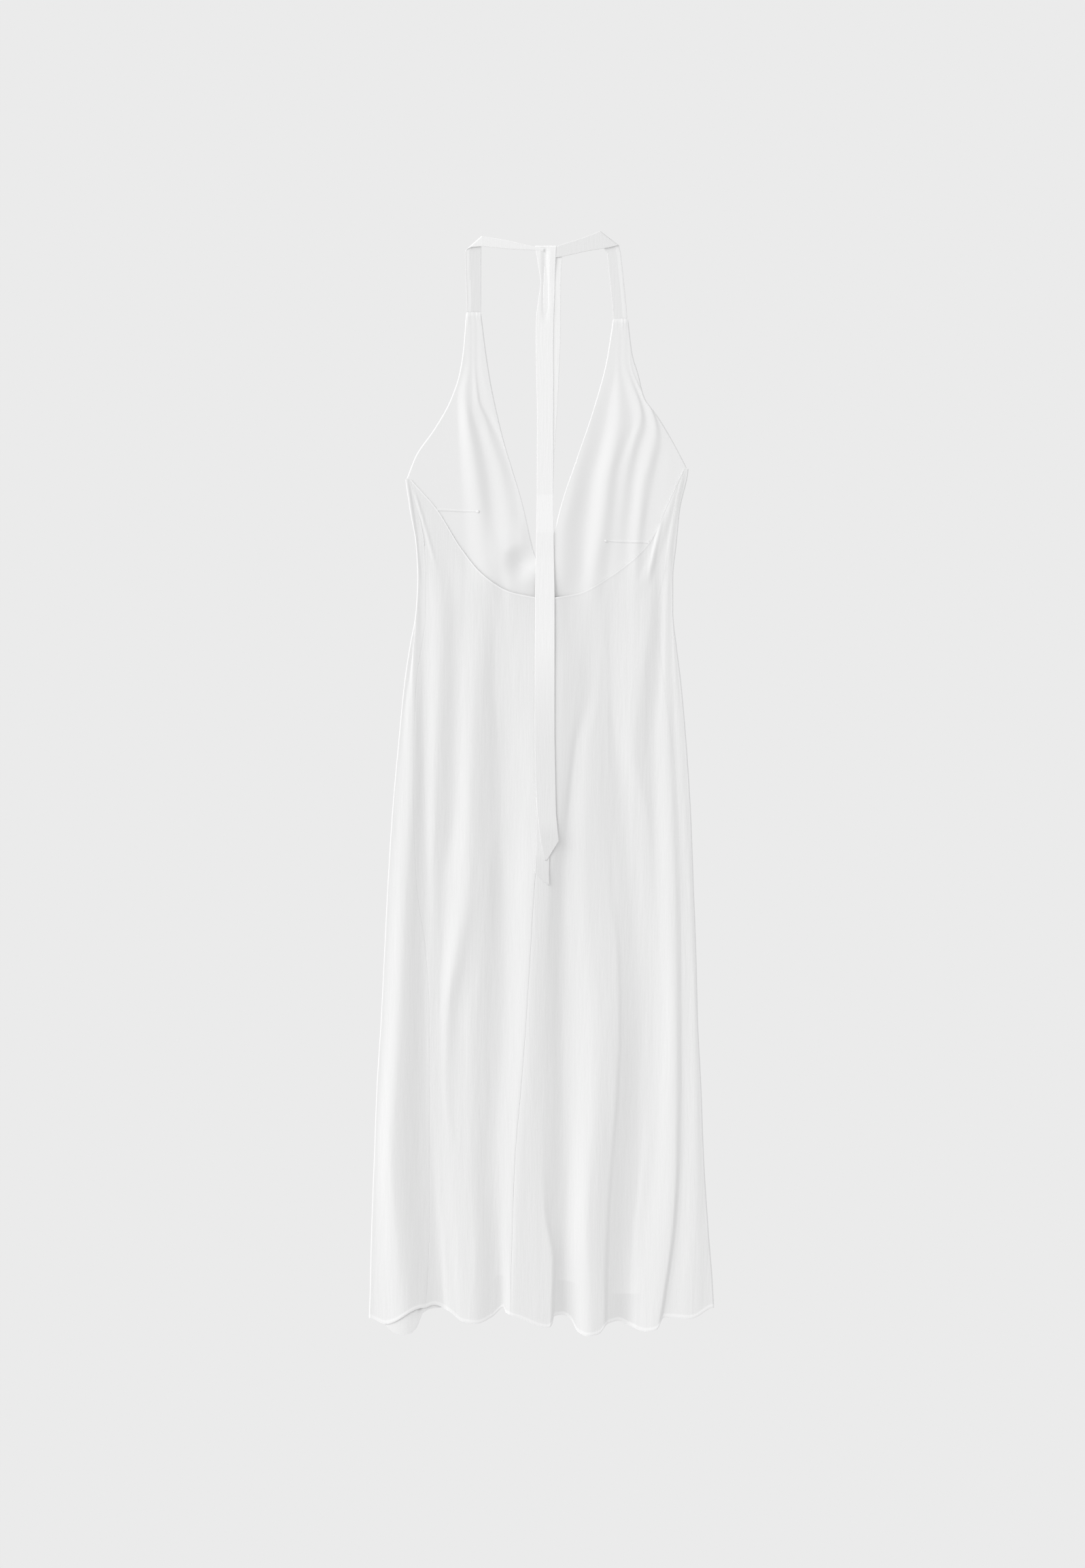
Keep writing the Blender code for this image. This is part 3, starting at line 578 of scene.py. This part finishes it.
# Folds lower than this rise get painted shade below the lining hem.
VALLEY_SHADE_RISE = 3.4
HEM_MARKS = [0, 0.5, 1.5, 2.8, 4.2, 5.2, 5.7, 6.2, 8.5]
NECK_MARKS = [0, 0.6, 1.4, 2.0, 2.6, 5.0]
back_marks = graded(BACK_ROWS + 1, BACK_LENGTH, HEM_MARKS, NECK_MARKS)


def turned_hem(edge, width, drop):
    """The extra height of a narrow hem, three layers of cloth pressed flat, with its edge rolled down."""
    raised = HEM_RAISE * ease((width - edge) / 1.2 + 0.5)
    return raised - drop * ease(1 - edge / 1.1)


def seam_dip(distance):
    """How far the cloth sinks beside a seam, where the stitches pull it."""
    return SEAM_DIP * ease(1 - np.abs(distance) / SEAM_DIP_REACH)


def lay_back(name, seam_column, underarm_y, neckline, side):
    """One half of the back."""
    seam_foot = BACK_HEM[0] if side < 0 else BACK_HEM[-1]
    centre_foot_y = hem_y(SECTIONS[-1].centre_seam, BACK_HEM)

    def seam(t):
        y = blend(seam_foot[1], underarm_y, t)
        return section_x(y, seam_column) - side * SIDE_SEAM_GAP / 2, y

    def centre(t):
        y = blend(centre_foot_y, BACK_NECK[1], t)
        return section_x(y, "centre_seam") + side * CENTRE_SEAM_GAP / 2, y

    def foot(t):
        x = blend(seam(0.0)[0], centre(0.0)[0], t)
        return x, hem_y(x, BACK_HEM)

    corners = [(float(seam(1.0)[0]), underarm_y), *neckline, (float(centre(1.0)[0]), BACK_NECK[1])]
    plan = patch(seam, centre, foot, lambda t: cut_line(corners, t))

    def place(u, v):
        u = u if side < 0 else 1 - u
        x, y = plan(u, v)
        edge = np.minimum(v, 1 - v) * BACK_LENGTH
        at_neck = v > 0.5
        width = np.where(at_neck, NECK_HEM_WIDTH, HEM_WIDTH)
        drop = np.where(at_neck, 0, HEM_DROP)
        z = top_height(x, y) + crinkle(x, y) * ease(edge / 8) + turned_hem(edge, width, drop)
        z = z - seam_dip(x - section_x(y, seam_column)) - seam_dip(x - section_x(y, "centre_seam"))
        values = {
            "edge_mm": np.where(at_neck, edge + HEM_WIDTH - width, np.maximum(edge, HEM_WHITE_MM)),
            "below_lining_mm": hem_y(x, LINING_STEPS) - y,
            # Greys the cloth below the lining hem, fully in the fold valleys and not at all on higher crests:
            # the step is the cloth's own grey, its weighting to the valleys is painted shade.
            "resting": ease(1 - skirt_rise(x, y) / VALLEY_SHADE_RISE),
        }
        return x, y, z, values

    panel = lay_sheet(name, BACK_COLUMNS, BACK_ROWS, place, CREPE_WALL, v_marks=back_marks)
    panel.data.materials.append(crepe)
    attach(panel, "root")
    return panel


back_left = lay_back("crepe_back_left", "left_seam", LEFT_UNDERARM_Y, NECKLINE_LEFT, -1)
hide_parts("back_left")
back_right = lay_back("crepe_back_right", "right_seam", RIGHT_UNDERARM_Y, NECKLINE_RIGHT[::-1], 1)
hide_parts("back_right")


# Front. One panel of the same crepe under the whole dress, with the two halter cups cut in one with it.
# Its sides turn up round the dress and lie on top as far as the side seams.
NECK_V = (5.0, 237.0)
LEFT_ARMHOLE = [(-148, 385), (-126, 417), (-108, 449), (-97, 481), (-92, 513)]
LEFT_CUP_TOP = [(-89, 554), (-71, 554)]
LEFT_V_EDGE = [(-8, 269), (-23, 331), (-46, 409), (-60, 473), (-66, 513)]
RIGHT_ARMHOLE = [(155, 401), (137, 431), (121, 454), (114, 481), (107, 505)]
RIGHT_CUP_TOP = [(102, 546.5), (84, 546.5)]
RIGHT_V_EDGE = [(12, 281), (24, 330), (42, 383), (60, 436), (76, 495)]
LEFT_WRAP_HEM = [(-203, -629), (-183, -635.5), (-140, -616.5)]
RIGHT_WRAP_HEM = [(144, -627.5), (175, -629), (203, -616)]
FRONT_HEM = [
    (-203, -629),
    (-189, -634),
    (-176, -644),
    (-163, -648),
    (-150, -645),
    (-143, -632),
    (-138, -620),
    (-125, -617),
    (-45, -613),
    (27, -624),
    (115, -630),
    (203, -616),
]
FRONT_HEM_FOLLOWS = 0.93
FRONT_HEM_RISE_Y = -590.0
FRONT_HEM_RISE_X = -112
FRONT_HEM_SINK = 1.1
FRONT_FOOT_Y = -625.0
PLAIN_CREPE = {"edge_mm": 20, "below_lining_mm": -20, "resting": 0}
SIDE_TURN = 1.3
CREPE_FOLLOWS = 0.5
WRAP_COLUMNS = 44
TURN_COLUMNS = 12
UNDER_COLUMNS = 30
CUP_ROWS = 70


def side_edge(column, foot_y, underarm_y, side):
    """The line where the front starts to turn up at one side."""

    def edge(t):
        y = blend(foot_y, underarm_y, t)
        return section_x(y, column) - side * SIDE_TURN, y

    return edge


def under_plan(edge, foot_y_at):
    """The underside of one half of the body, from the side to the middle."""

    def centre(t):
        return NECK_V[0], blend(foot_y_at(NECK_V[0]), NECK_V[1], t)

    def foot(t):
        x = blend(edge(0.0)[0], NECK_V[0], t)
        return x, blend(edge(0.0)[1], foot_y_at(x), ease(8 * t))

    return patch(edge, centre, foot, straight(edge(1.0), NECK_V))


def cup_plan(armhole, top, v_edge, underarm):
    """One cup, from the line between underarm and the bottom of the V up to the strap."""
    outer = [underarm, *armhole, top[0]]
    inner = [NECK_V, *v_edge, top[1]]
    return patch(
        lambda t: cut_line(outer, t),
        lambda t: cut_line(inner, t),
        straight(outer[0], inner[0]),
        straight(outer[-1], inner[-1]),
    )


def lay_front_half(name, columns, hem, underarm_y, side, armhole, top, v_edge):
    """Half of the front: the strip on top, the turn, the underside and the cup, joined in one sheet."""
    edge_column, seam_column = columns
    foot_edge = hem[0] if side < 0 else hem[-1]
    foot_seam = hem[-1] if side < 0 else hem[0]
    edge = side_edge(edge_column, foot_edge[1], underarm_y, side)

    def seam(t):
        y = blend(foot_seam[1], underarm_y, t)
        return section_x(y, seam_column) + side * SIDE_SEAM_GAP / 2, y

    def foot(t):
        x = blend(seam(0.0)[0], edge(0.0)[0], t)
        return x, hem_y(x, hem)

    wrap_plan = patch(seam, edge, foot, straight(seam(1.0), edge(1.0)))
    underside_plan = under_plan(edge, lambda x: hem_y(x, FRONT_HEM))
    total = WRAP_COLUMNS + TURN_COLUMNS + UNDER_COLUMNS
    length = underarm_y - FRONT_FOOT_Y

    def place(u, v):
        u = u if side < 0 else 1 - u
        column = u * total
        on_wrap = np.clip(column / WRAP_COLUMNS, 0, 1)
        on_turn = np.clip((column - WRAP_COLUMNS) / TURN_COLUMNS, 0, 1)
        under = np.clip((column - WRAP_COLUMNS - TURN_COLUMNS) / UNDER_COLUMNS, 0, 1)
        x, y = wrap_plan(on_wrap, v)
        distance = v * length
        top_z = top_height(x, y) + crinkle(x, y) * ease(distance / 8)
        top_z = top_z + turned_hem(distance, HEM_WIDTH, HEM_DROP)
        angle = math.pi * on_turn
        z = top_z / 2 * (1 + np.cos(angle))
        x = x + side * SIDE_TURN * np.sin(angle)
        below_x, below_y = underside_plan(under, v)
        is_under = column > WRAP_COLUMNS + TURN_COLUMNS
        x = np.where(is_under, below_x, x)
        y = np.where(is_under, below_y, y)
        slipped = FRONT_HEM_FOLLOWS * (top_height(x, y) - FRONT_HEM_SINK)
        slipped = slipped * ease((FRONT_HEM_RISE_Y - y) / 30) * ease((FRONT_HEM_RISE_X - x) / 12)
        z = np.where(is_under, CREPE_FOLLOWS * cup_lift(x, y) + slipped, z)
        edge = np.maximum(distance, HEM_WHITE_MM)
        values = {**PLAIN_CREPE, "edge_mm": np.where(is_under, PLAIN_CREPE["edge_mm"], edge)}
        return x, y, z, values

    marks = graded(BACK_ROWS + 1, length, HEM_MARKS, [0, 4.0])
    body = lay_sheet(name, total, BACK_ROWS, place, 0, faces_down=side > 0, v_marks=marks)
    plan = cup_plan(armhole, top, v_edge, tuple(float(value) for value in edge(1.0)))

    def place_cup(u, v):
        u = u if side < 0 else 1 - u
        x, y = plan(u, v)
        return x, y, CREPE_FOLLOWS * cup_lift(x, y), PLAIN_CREPE

    cup = lay_sheet(name + "_cup", UNDER_COLUMNS, CUP_ROWS, place_cup, 0, faces_down=True)
    return body, cup


def join_pieces(pieces):
    """Joins several pieces into the first of them."""
    bpy.ops.object.select_all(action="DESELECT")
    for piece in pieces:
        piece.select_set(True)
    bpy.context.view_layer.objects.active = pieces[0]
    bpy.ops.object.join()
    return bpy.context.object


left_body, left_cup = lay_front_half(
    "crepe_front",
    ("left_edge", "left_seam"),
    LEFT_WRAP_HEM,
    LEFT_UNDERARM_Y,
    -1,
    LEFT_ARMHOLE,
    LEFT_CUP_TOP,
    LEFT_V_EDGE,
)
right_body, right_cup = lay_front_half(
    "crepe_front_right",
    ("right_edge", "right_seam"),
    RIGHT_WRAP_HEM,
    RIGHT_UNDERARM_Y,
    1,
    RIGHT_ARMHOLE,
    RIGHT_CUP_TOP,
    RIGHT_V_EDGE,
)
front = join_pieces((left_body, left_cup, right_body, right_cup))
bpy.ops.object.mode_set(mode="EDIT")
bpy.ops.mesh.select_all(action="SELECT")
bpy.ops.mesh.remove_doubles(threshold=0.02 * MM)
bpy.ops.mesh.normals_make_consistent(inside=False)
bpy.ops.object.mode_set(mode="OBJECT")
lowest = min(front.data.polygons, key=lambda face: abs(face.center.x) + abs(face.center.y))
if lowest.normal.z > 0:
    front.data.flip_normals()
add_wall(front, CREPE_WALL)
front.data.materials.append(crepe)
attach(front, "root")
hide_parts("front")


# Front lining. Smooth satin cut like the front and shorter at the hem. It shows inside the cups, where two
# bust darts are pressed flat, and its edges are bagged out with the crepe along the V and the armholes.
LINING_Z = 2.3
LINING_WALL = 0.5
LINING_COLOUR = "#F5F5F5"
ROLLED_EDGE = 1.4
ROLLED_GAP = 0.4
GATHER_HEIGHT = 0.3
DART_WIDTH = 2.6
DART_HEIGHT = 0.55
lining_satin, satin_shader = new_material("polyester_satin")
satin_uv = add_node(lining_satin, "ShaderNodeTexCoord").outputs["UV"]
satin_place = add_node(
    lining_satin, "ShaderNodeMapping", {"Scale": (1 / 0.004, 1 / 0.03, 1)}, {"Vector": satin_uv}
)
satin_waves = add_node(
    lining_satin, "ShaderNodeTexNoise", {"Scale": 1.0, "Detail": 2.0}, {"Vector": satin_place.outputs[0]}
)
satin_bump = add_node(
    lining_satin, "ShaderNodeBump", {"Strength": 0.1, "Distance": 0.0005}, {"Height": satin_waves.outputs[0]}
)
lining_satin.node_tree.links.new(satin_bump.outputs[0], satin_shader.inputs["Normal"])
satin_shader.inputs["Base Color"].default_value = linear(LINING_COLOUR)
satin_shader.inputs["Roughness"].default_value = 0.55


def lay_lining_half(name, edge_column, underarm_y, side, armhole, top, v_edge):
    """Half of the lining: its body, under the back, and its cup."""
    edge = side_edge(edge_column, LINING_HEM_Y, underarm_y, side)
    body_plan = under_plan(edge, lambda x: LINING_HEM_Y)
    plan = cup_plan(armhole, top, v_edge, tuple(float(value) for value in edge(1.0)))

    def place_body(u, v):
        u = u if side < 0 else 1 - u
        x, y = body_plan(u, v)
        return x, y, LINING_Z + cup_lift(x, y), {"edge_mm": 20}

    def place_cup(u, v):
        u = u if side < 0 else 1 - u
        x, y = plan(u, v)
        width = np.maximum(np.hypot(*np.subtract(plan(1 + 0 * u, v), plan(0 * u, v))), 1)
        from_edge = np.minimum(u, 1 - u) * width
        lift = cup_lift(x, y)
        rolled = CREPE_WALL + LINING_WALL + ROLLED_GAP + CREPE_FOLLOWS * lift
        inside = ease(ease(from_edge / ROLLED_EDGE) + ease(1 - v / 0.06)) * ease((top[0][1] - y) / 5)
        gathers = GATHER_HEIGHT * ripple(x / 1.8 + 7, y / 40 + 3) * ease((y - top[0][1] + 22) / 20)
        z = blend(rolled, LINING_Z + lift, inside) + gathers
        return x, y, z, {"edge_mm": from_edge}

    close_edges = 0.5 - 0.5 * np.cos(np.linspace(0, math.pi, 85))
    body = lay_sheet(name, 84, 120, place_body, 0, u_marks=close_edges)
    cup = lay_sheet(name + "_cup", 84, 150, place_cup, 0, u_marks=close_edges)
    return body, cup


def lay_strip(name, columns, rows, place, shade):
    """Adds a flat closed tube.

    place gives X, Y and Z for a share across, a share along, and the two sides of the tube as -1 below
    and 1 above. shade gives the values that the material reads.
    """
    around = np.concatenate([0.5 - 0.5 * np.cos(np.linspace(0, math.pi, columns + 1))] * 2)
    marks = np.concatenate([around[: columns + 1] / 2, 0.5 + around[1 : columns + 1] / 2])

    def place_around(u, v):
        side = np.where(u < 0.5, -1.0, 1.0)
        across = np.where(u < 0.5, 2 * u, 2 - 2 * u)
        closed = np.where((v < 1e-6) | (v > 1 - 1e-6), 0.0, 1.0)
        x, y, z = place(across, v, side * closed)
        return x, y, z, shade(across, v)

    strip = lay_sheet(name, 2 * columns, rows, place_around, 0, u_marks=marks)
    bpy.ops.object.mode_set(mode="EDIT")
    bpy.ops.mesh.select_all(action="SELECT")
    bpy.ops.mesh.remove_doubles(threshold=0.01 * MM)
    bpy.ops.mesh.normals_make_consistent(inside=False)
    bpy.ops.object.mode_set(mode="OBJECT")
    bpy.ops.object.shade_smooth()
    return strip


def rounded(across, width, thick):
    """The half thickness of a pressed tube, which rounds off over its two edges."""
    half = thick / 2
    from_edge = np.minimum(across, 1 - across) * width / np.minimum(half, width / 3)
    return half * np.sqrt(1 - (1 - np.clip(from_edge, 0, 1)) ** 2)


def lay_dart(name, inner, outer):
    """A pressed dart, a narrow welt that ends in a small pucker."""

    def place(across, v, side):
        x, y = blend(outer[0], inner[0], v), blend(outer[1], inner[1], v)
        pucker = ease((v - 0.91) / 0.04) * ease((1 - v) / 0.03)
        width = blend(DART_WIDTH, 1.2, ease((v - 0.5) / 0.5)) + 2.0 * pucker
        y = y + (across - 0.5) * width
        height = side * rounded(across, width, DART_HEIGHT) + 0.6 * pucker * rounded(across, width, 1.6)
        return x, y, LINING_Z + cup_lift(x, y) + 0.1 + height

    return lay_strip(name, 6, 80, place, lambda across, v: {"edge_mm": 20})


lining_pieces = lay_lining_half(
    "satin_lining", "left_edge", LEFT_UNDERARM_Y, -1, LEFT_ARMHOLE, LEFT_CUP_TOP, LEFT_V_EDGE
) + lay_lining_half(
    "satin_lining_right", "right_edge", RIGHT_UNDERARM_Y, 1, RIGHT_ARMHOLE, RIGHT_CUP_TOP, RIGHT_V_EDGE
)
lining = join_pieces(lining_pieces)
bpy.ops.object.mode_set(mode="EDIT")
bpy.ops.mesh.select_all(action="SELECT")
bpy.ops.mesh.remove_doubles(threshold=0.02 * MM)
bpy.ops.object.mode_set(mode="OBJECT")
add_wall(lining, LINING_WALL)
left_dart = lay_dart("left_dart", (-72.4, 318.8), (-127, 321.5))
right_dart = lay_dart("right_dart", (74.0, 284.4), (127, 282.8))
lining = join_pieces((lining, left_dart, right_dart))
lining.data.materials.append(lining_satin)
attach(lining, "root")
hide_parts("front_lining")


# Left tie. A flat turned tube of the same crepe, sewn into the top of the left cup. It runs up the neck,
# folds over on itself at a slant and goes on, drawn ever narrower, to the knot at the back of the neck.
Strip = namedtuple("Strip", "along left right thick")
LEFT_TIE = [
    Strip(554.1, -88.6, -71.3, 0.7),
    Strip(565, -88.0, -71.0, 0.7),
    Strip(600, -89.5, -71.0, 0.7),
    Strip(625, -90.0, -70.8, 0.7),
    Strip(634, -85.0, -70.6, 0.7),
    Strip(645, -82.6, -70.6, 1.1),
    Strip(675, -81.6, -71.4, 1.4),
    Strip(705, -79.0, -74.5, 1.6),
    Strip(719, -78.8, -75.2, 1.6),
]
LEFT_CORNER = (-75.4, 637.6)
LEFT_CORNER_DEGREES = 41.0
CORNER_RADIUS = 0.7
ALLOWANCE_MIDDLE = 3.6
ALLOWANCE_HALF = 2.0


def strip_at(rows, along):
    """The left edge, right edge and thickness of a strip part way along it."""
    order = rows if rows[-1].along > rows[0].along else rows[::-1]
    known = [row.along for row in order]
    return [np.interp(along, known, [getattr(row, column) for row in order]) for column in Strip._fields[1:]]


def folded_over(x, along, rise, base, corner, degrees, radius):
    """Points of a strip after it is folded back over a slanting line, as paper is. base is its middle."""
    across, up = -math.sin(math.radians(degrees)), math.cos(math.radians(degrees))
    past = (x - corner[0]) * across + (along - corner[1]) * up
    turn = np.clip(past / radius, 0, math.pi)
    shift = np.where(past > 0, (radius - rise) * np.sin(turn) - 2 * past + turn * radius, 0)
    return x + across * shift, along + up * shift, base + radius - (radius - rise) * np.cos(turn)


def lay_tie(name, rows, corner, degrees, sheer_strap_shade, seam_side):
    """A neck tie, from the top of its cup over its slanting fold to the knot.

    The strap is sheer, with the seam allowance showing as a whiter strip beside its outer edge. The strap's
    grey is partly the sheer cloth and partly painted shade, set for each tie; past the fold the left band is
    painted whiter, a painted highlight.
    """
    first, last = rows[0].along, rows[-1].along
    fold = corner[1]
    steps = np.concatenate(
        [
            [first, first + 0.05, first + 0.25],
            np.linspace(first + 0.8, fold - 14, 60)[:-1],
            np.linspace(fold - 14, fold + 18, 90)[:-1],
            np.linspace(fold + 18, last, 60),
        ]
    )

    def place(across, v, side):
        along = steps[np.rint(v * (len(steps) - 1)).astype(int)]
        left, right, thick = strip_at(rows, along)
        x = blend(left, right, across)
        rise = side * rounded(across, right - left, thick)
        return folded_over(x, along, rise, thick / 2, corner, degrees, CORNER_RADIUS)

    def shade(across, v):
        along = steps[np.rint(v * (len(steps) - 1)).astype(int)]
        left, right, thick = strip_at(rows, along)
        x = blend(left, right, across)
        from_outside = x - left if seam_side < 0 else right - x
        up = math.cos(math.radians(degrees))
        past = (along - corner[1]) * up - (x - corner[0]) * math.sin(math.radians(degrees))
        allowance = np.abs(from_outside - ALLOWANCE_MIDDLE) < ALLOWANCE_HALF
        # Painted highlight: the whole left band past the fold is whiter. Painted shade: the strap before the
        # fold is greyer.
        return {
            "edge_mm": np.where(past > 0, 3.9 if seam_side < 0 else 20, np.where(allowance, 4.1, 20)),
            "below_lining_mm": 20,
            "resting": np.where(past > 0, 0, sheer_strap_shade),
        }

    return lay_strip(name, 24, len(steps) - 1, place, shade)


# The left strap gets much painted shade.
tie_left = lay_tie("crepe_tie_left", LEFT_TIE, LEFT_CORNER, LEFT_CORNER_DEGREES, 0.45, -1)
tie_left.data.materials.append(crepe)
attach(tie_left, "root")
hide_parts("tie_left")


# Right tie. The other turned tube of crepe, sewn into the right cup, folded over at its own slant. It
# stays broader on its way to the knot.
RIGHT_TIE = [
    Strip(546.6, 84.2, 100.8, 0.7),
    Strip(560, 83.5, 100.0, 0.7),
    Strip(600, 79.5, 96.0, 0.7),
    Strip(622, 77.5, 93.5, 0.7),
    Strip(634, 70.5, 91.2, 0.7),
    Strip(645, 69.0, 90.8, 0.9),
    Strip(672, 71.6, 88.0, 1.1),
    Strip(700, 72.4, 86.6, 1.2),
    Strip(715, 74.5, 84.5, 1.2),
]
RIGHT_CORNER = (78.3, 641.0)
RIGHT_CORNER_DEGREES = -37.2
# The right strap gets only a little painted shade.
tie_right = lay_tie("crepe_tie_right", RIGHT_TIE, RIGHT_CORNER, RIGHT_CORNER_DEGREES, 0.05, 1)
tie_right.data.materials.append(crepe)
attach(tie_right, "root")
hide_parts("tie_right")


# Tails. The two ends of the ties below the knot, turned tubes of crepe cut to a slanting point. One hangs
# underneath. The other comes up behind the bands, turns over both of them and hangs down on top.
OVER_TAIL = [
    Strip(625.5, -5.0, 14.5, 0.5),
    Strip(630.3, -7.5, 17.5, 0.5),
    Strip(617, -5.2, 16.8, 0.5),
    Strip(605, -3.2, 16.2, 0.5),
    Strip(589, -0.8, 15.8, 0.5),
    Strip(577, -2.4, 15.6, 0.5),
    Strip(560, -5.0, 15.0, 0.5),
    Strip(545, -6.4, 14.4, 0.5),
    Strip(520, -6.8, 14.0, 0.5),
    Strip(440, -5.2, 14.2, 0.5),
    Strip(330, -5.5, 13.8, 0.5),
    Strip(220, -7.5, 15.5, 0.5),
    Strip(60, -8.0, 15.5, 0.5),
    Strip(0, -7.0, 16.5, 0.5),
    Strip(-36, -5.0, 17.2, 0.5),
    Strip(-68, -1.0, 20.4, 0.5),
    Strip(-91, 3.8, 6.2, 0.5),
]
UNDER_TAIL = [
    Strip(620, 4.0, 24.5, 0.5),
    Strip(600, 3.0, 23.0, 0.5),
    Strip(520, 0.0, 22.4, 0.5),
    Strip(440, -3.0, 18.8, 0.5),
    Strip(380, -4.0, 14.8, 0.5),
    Strip(300, -4.5, 13.0, 0.5),
    Strip(150, -5.5, 13.5, 0.5),
    Strip(0, -6.0, 14.0, 0.5),
    Strip(-75, -6.4, 9.6, 0.5),
    Strip(-92, -7.2, 9.3, 0.5),
    Strip(-105, -7.8, 9.0, 0.8),
    Strip(-119.6, 7.4, 9.4, 0.8),
]
KNOT = (5.0, 630.3)
KNOT_RADIUS = 1.2
TIE_GAP = 0.05
SEAT_GAP = 0.1
SEAT_REACH = 20
KNOT_LIFT = 0.8
KNOT_LIFT_Y = 540
END_ROW = 0.3
UNDER_ROWS = 300


def edge_x_at(edge, y):
    """The X of one side of the neck opening at a height, by straight steps through its table."""
    rows = [NECK_V, *edge]
    return np.interp(y, [row[1] for row in rows], [row[0] for row in rows])


def seat_height(y):
    """The highest cloth across the width of the tails."""
    level = np.zeros_like(y)
    for x in range(-8, 20, 4):
        on_back = y < BACK_NECK[1] + 6
        on_cup = (y < NECK_V[1]) | (edge_x_at(LEFT_V_EDGE, y) > x) | (edge_x_at(RIGHT_V_EDGE, y) < x)
        cup = np.where(on_cup, LINING_Z + cup_lift(x, y), 0)
        level = np.maximum(level, np.where(on_back, top_height(x, y), cup))
    return level


def eased_seat(y):
    """The level on which the tails lie: it bridges small hollows and slopes over each edge."""
    raised = []
    stations = np.arange(-240.0, 700.0, 2.0)
    levels = seat_height(stations)
    for offset in range(-SEAT_REACH, SEAT_REACH + 1, 4):
        shifts = range(-SEAT_REACH, SEAT_REACH + 1, 6)
        near = [np.interp(y + offset + shift, stations, levels) for shift in shifts]
        raised.append(np.max(near, axis=0))
    seat = np.mean(raised, axis=0)
    return seat + SEAT_GAP * ease(seat) + KNOT_LIFT * ease((y - KNOT_LIFT_Y) / 30)


def shade_tail(across, v):
    """Painted light on both tails: a painted highlight towards the knot, fading to painted shade near the
    tip.
    """
    return {
        "edge_mm": blend(3.0, 4.8, ease((v - 0.6) / 0.27)),
        "below_lining_mm": 20,
        "resting": 0.9 * ease((v - 0.94) / 0.03),
    }


def place_under_tail(across, v, side):
    """The tail underneath, from the knot down to its point."""
    end = UNDER_TAIL[-1].along
    share = np.minimum(v * UNDER_ROWS / (UNDER_ROWS - 1), 1)
    y = np.where(v > 1 - 1e-6, end, blend(UNDER_TAIL[0].along, end + END_ROW, share))
    left, right, thick = strip_at(UNDER_TAIL, y)
    rise = side * rounded(across, right - left, thick)
    return blend(left, right, across), y, eased_seat(y) + thick / 2 + rise


tail_under = lay_strip("crepe_tail_under", 20, UNDER_ROWS, place_under_tail, shade_tail)
tail_under.data.materials.append(crepe)
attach(tail_under, "root")
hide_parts("tie_tail_under")

GROOVE_X = 4.4
GROOVE_DEPTH = 1.3
GROOVE_REACH = 5.5
GROOVE_FOOT_Y = 536
TURN_ROWS = 60
TAIL_ROWS = 320


def place_over_tail(across, v, side):
    """The tail on top: up behind the bands, over them and down to its point."""
    step = np.rint(v * (TURN_ROWS + TAIL_ROWS))
    past = blend(OVER_TAIL[0].along - KNOT[1], math.pi * KNOT_RADIUS, np.clip(step / TURN_ROWS, 0, 1))
    left, right, thick = strip_at(OVER_TAIL[:2], np.minimum(KNOT[1] + past, OVER_TAIL[1].along))
    x = blend(left, right, across)
    rise = side * rounded(across, right - left, thick)
    turned = folded_over(x, KNOT[1] + past, rise, thick / 2, KNOT, 0, KNOT_RADIUS)
    end = OVER_TAIL[-1].along
    y = blend(KNOT[1] - 3, end + END_ROW, np.clip((step - TURN_ROWS - 1) / (TAIL_ROWS - 2), 0, 1))
    y = np.where(v > 1 - 1e-6, end, y)
    left, right, thick = strip_at(OVER_TAIL[1:], y)
    on_knot = thick / 2 + 2 * KNOT_RADIUS
    on_tail = eased_seat(y) + thick + TIE_GAP + thick / 2
    base = blend(on_knot, on_tail, ease((KNOT[1] - 5 - y) / 40))
    rise = side * rounded(across, right - left, thick)
    x_hanging = blend(left, right, across)
    groove = GROOVE_DEPTH * ease((y - GROOVE_FOOT_Y) / 30)
    groove = groove * ease(1 - np.abs(x_hanging - GROOVE_X) / GROOVE_REACH)
    hanging = (x_hanging, y, base - rise - groove)
    return [np.where(step <= TURN_ROWS, turned[axis], hanging[axis]) for axis in range(3)]


tail_over = lay_strip("crepe_tail_over", 20, TURN_ROWS + TAIL_ROWS, place_over_tail, shade_tail)
tail_over.data.materials.append(crepe)
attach(tail_over, "root")
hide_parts("tie_tail_over")


# Studio. A plain pale floor, a broad even light all round, and a softbox at the upper left that brings
# out the folds.
FLOOR_COLOUR = "#EBEBEB"
bpy.ops.mesh.primitive_plane_add(size=12, location=(0, 0, -0.0008))
floor = bpy.context.object
floor.name = "studio_floor"
floor_paper = bpy.data.materials.new("pale_studio_floor")
floor_paper.use_nodes = True
floor_paper.node_tree.nodes.remove(floor_paper.node_tree.nodes["Principled BSDF"])
glow = add_node(floor_paper, "ShaderNodeEmission", {"Color": linear(FLOOR_COLOUR), "Strength": 1.0})
floor_output = floor_paper.node_tree.nodes["Material Output"]
floor_paper.node_tree.links.new(glow.outputs[0], floor_output.inputs["Surface"])
floor.data.materials.append(floor_paper)

world = bpy.data.worlds.new("studio")
world.use_nodes = True
world.node_tree.nodes["Background"].inputs["Color"].default_value = (1, 1, 1, 1)
world.node_tree.nodes["Background"].inputs["Strength"].default_value = 0.69
bpy.context.scene.world = world
bpy.ops.object.light_add(type="SUN", rotation=(math.radians(-27), math.radians(-64), 0))
sun = bpy.context.object
sun.data.energy = 1.7
sun.data.angle = math.radians(55)
bpy.context.scene.view_settings.view_transform = "Standard"
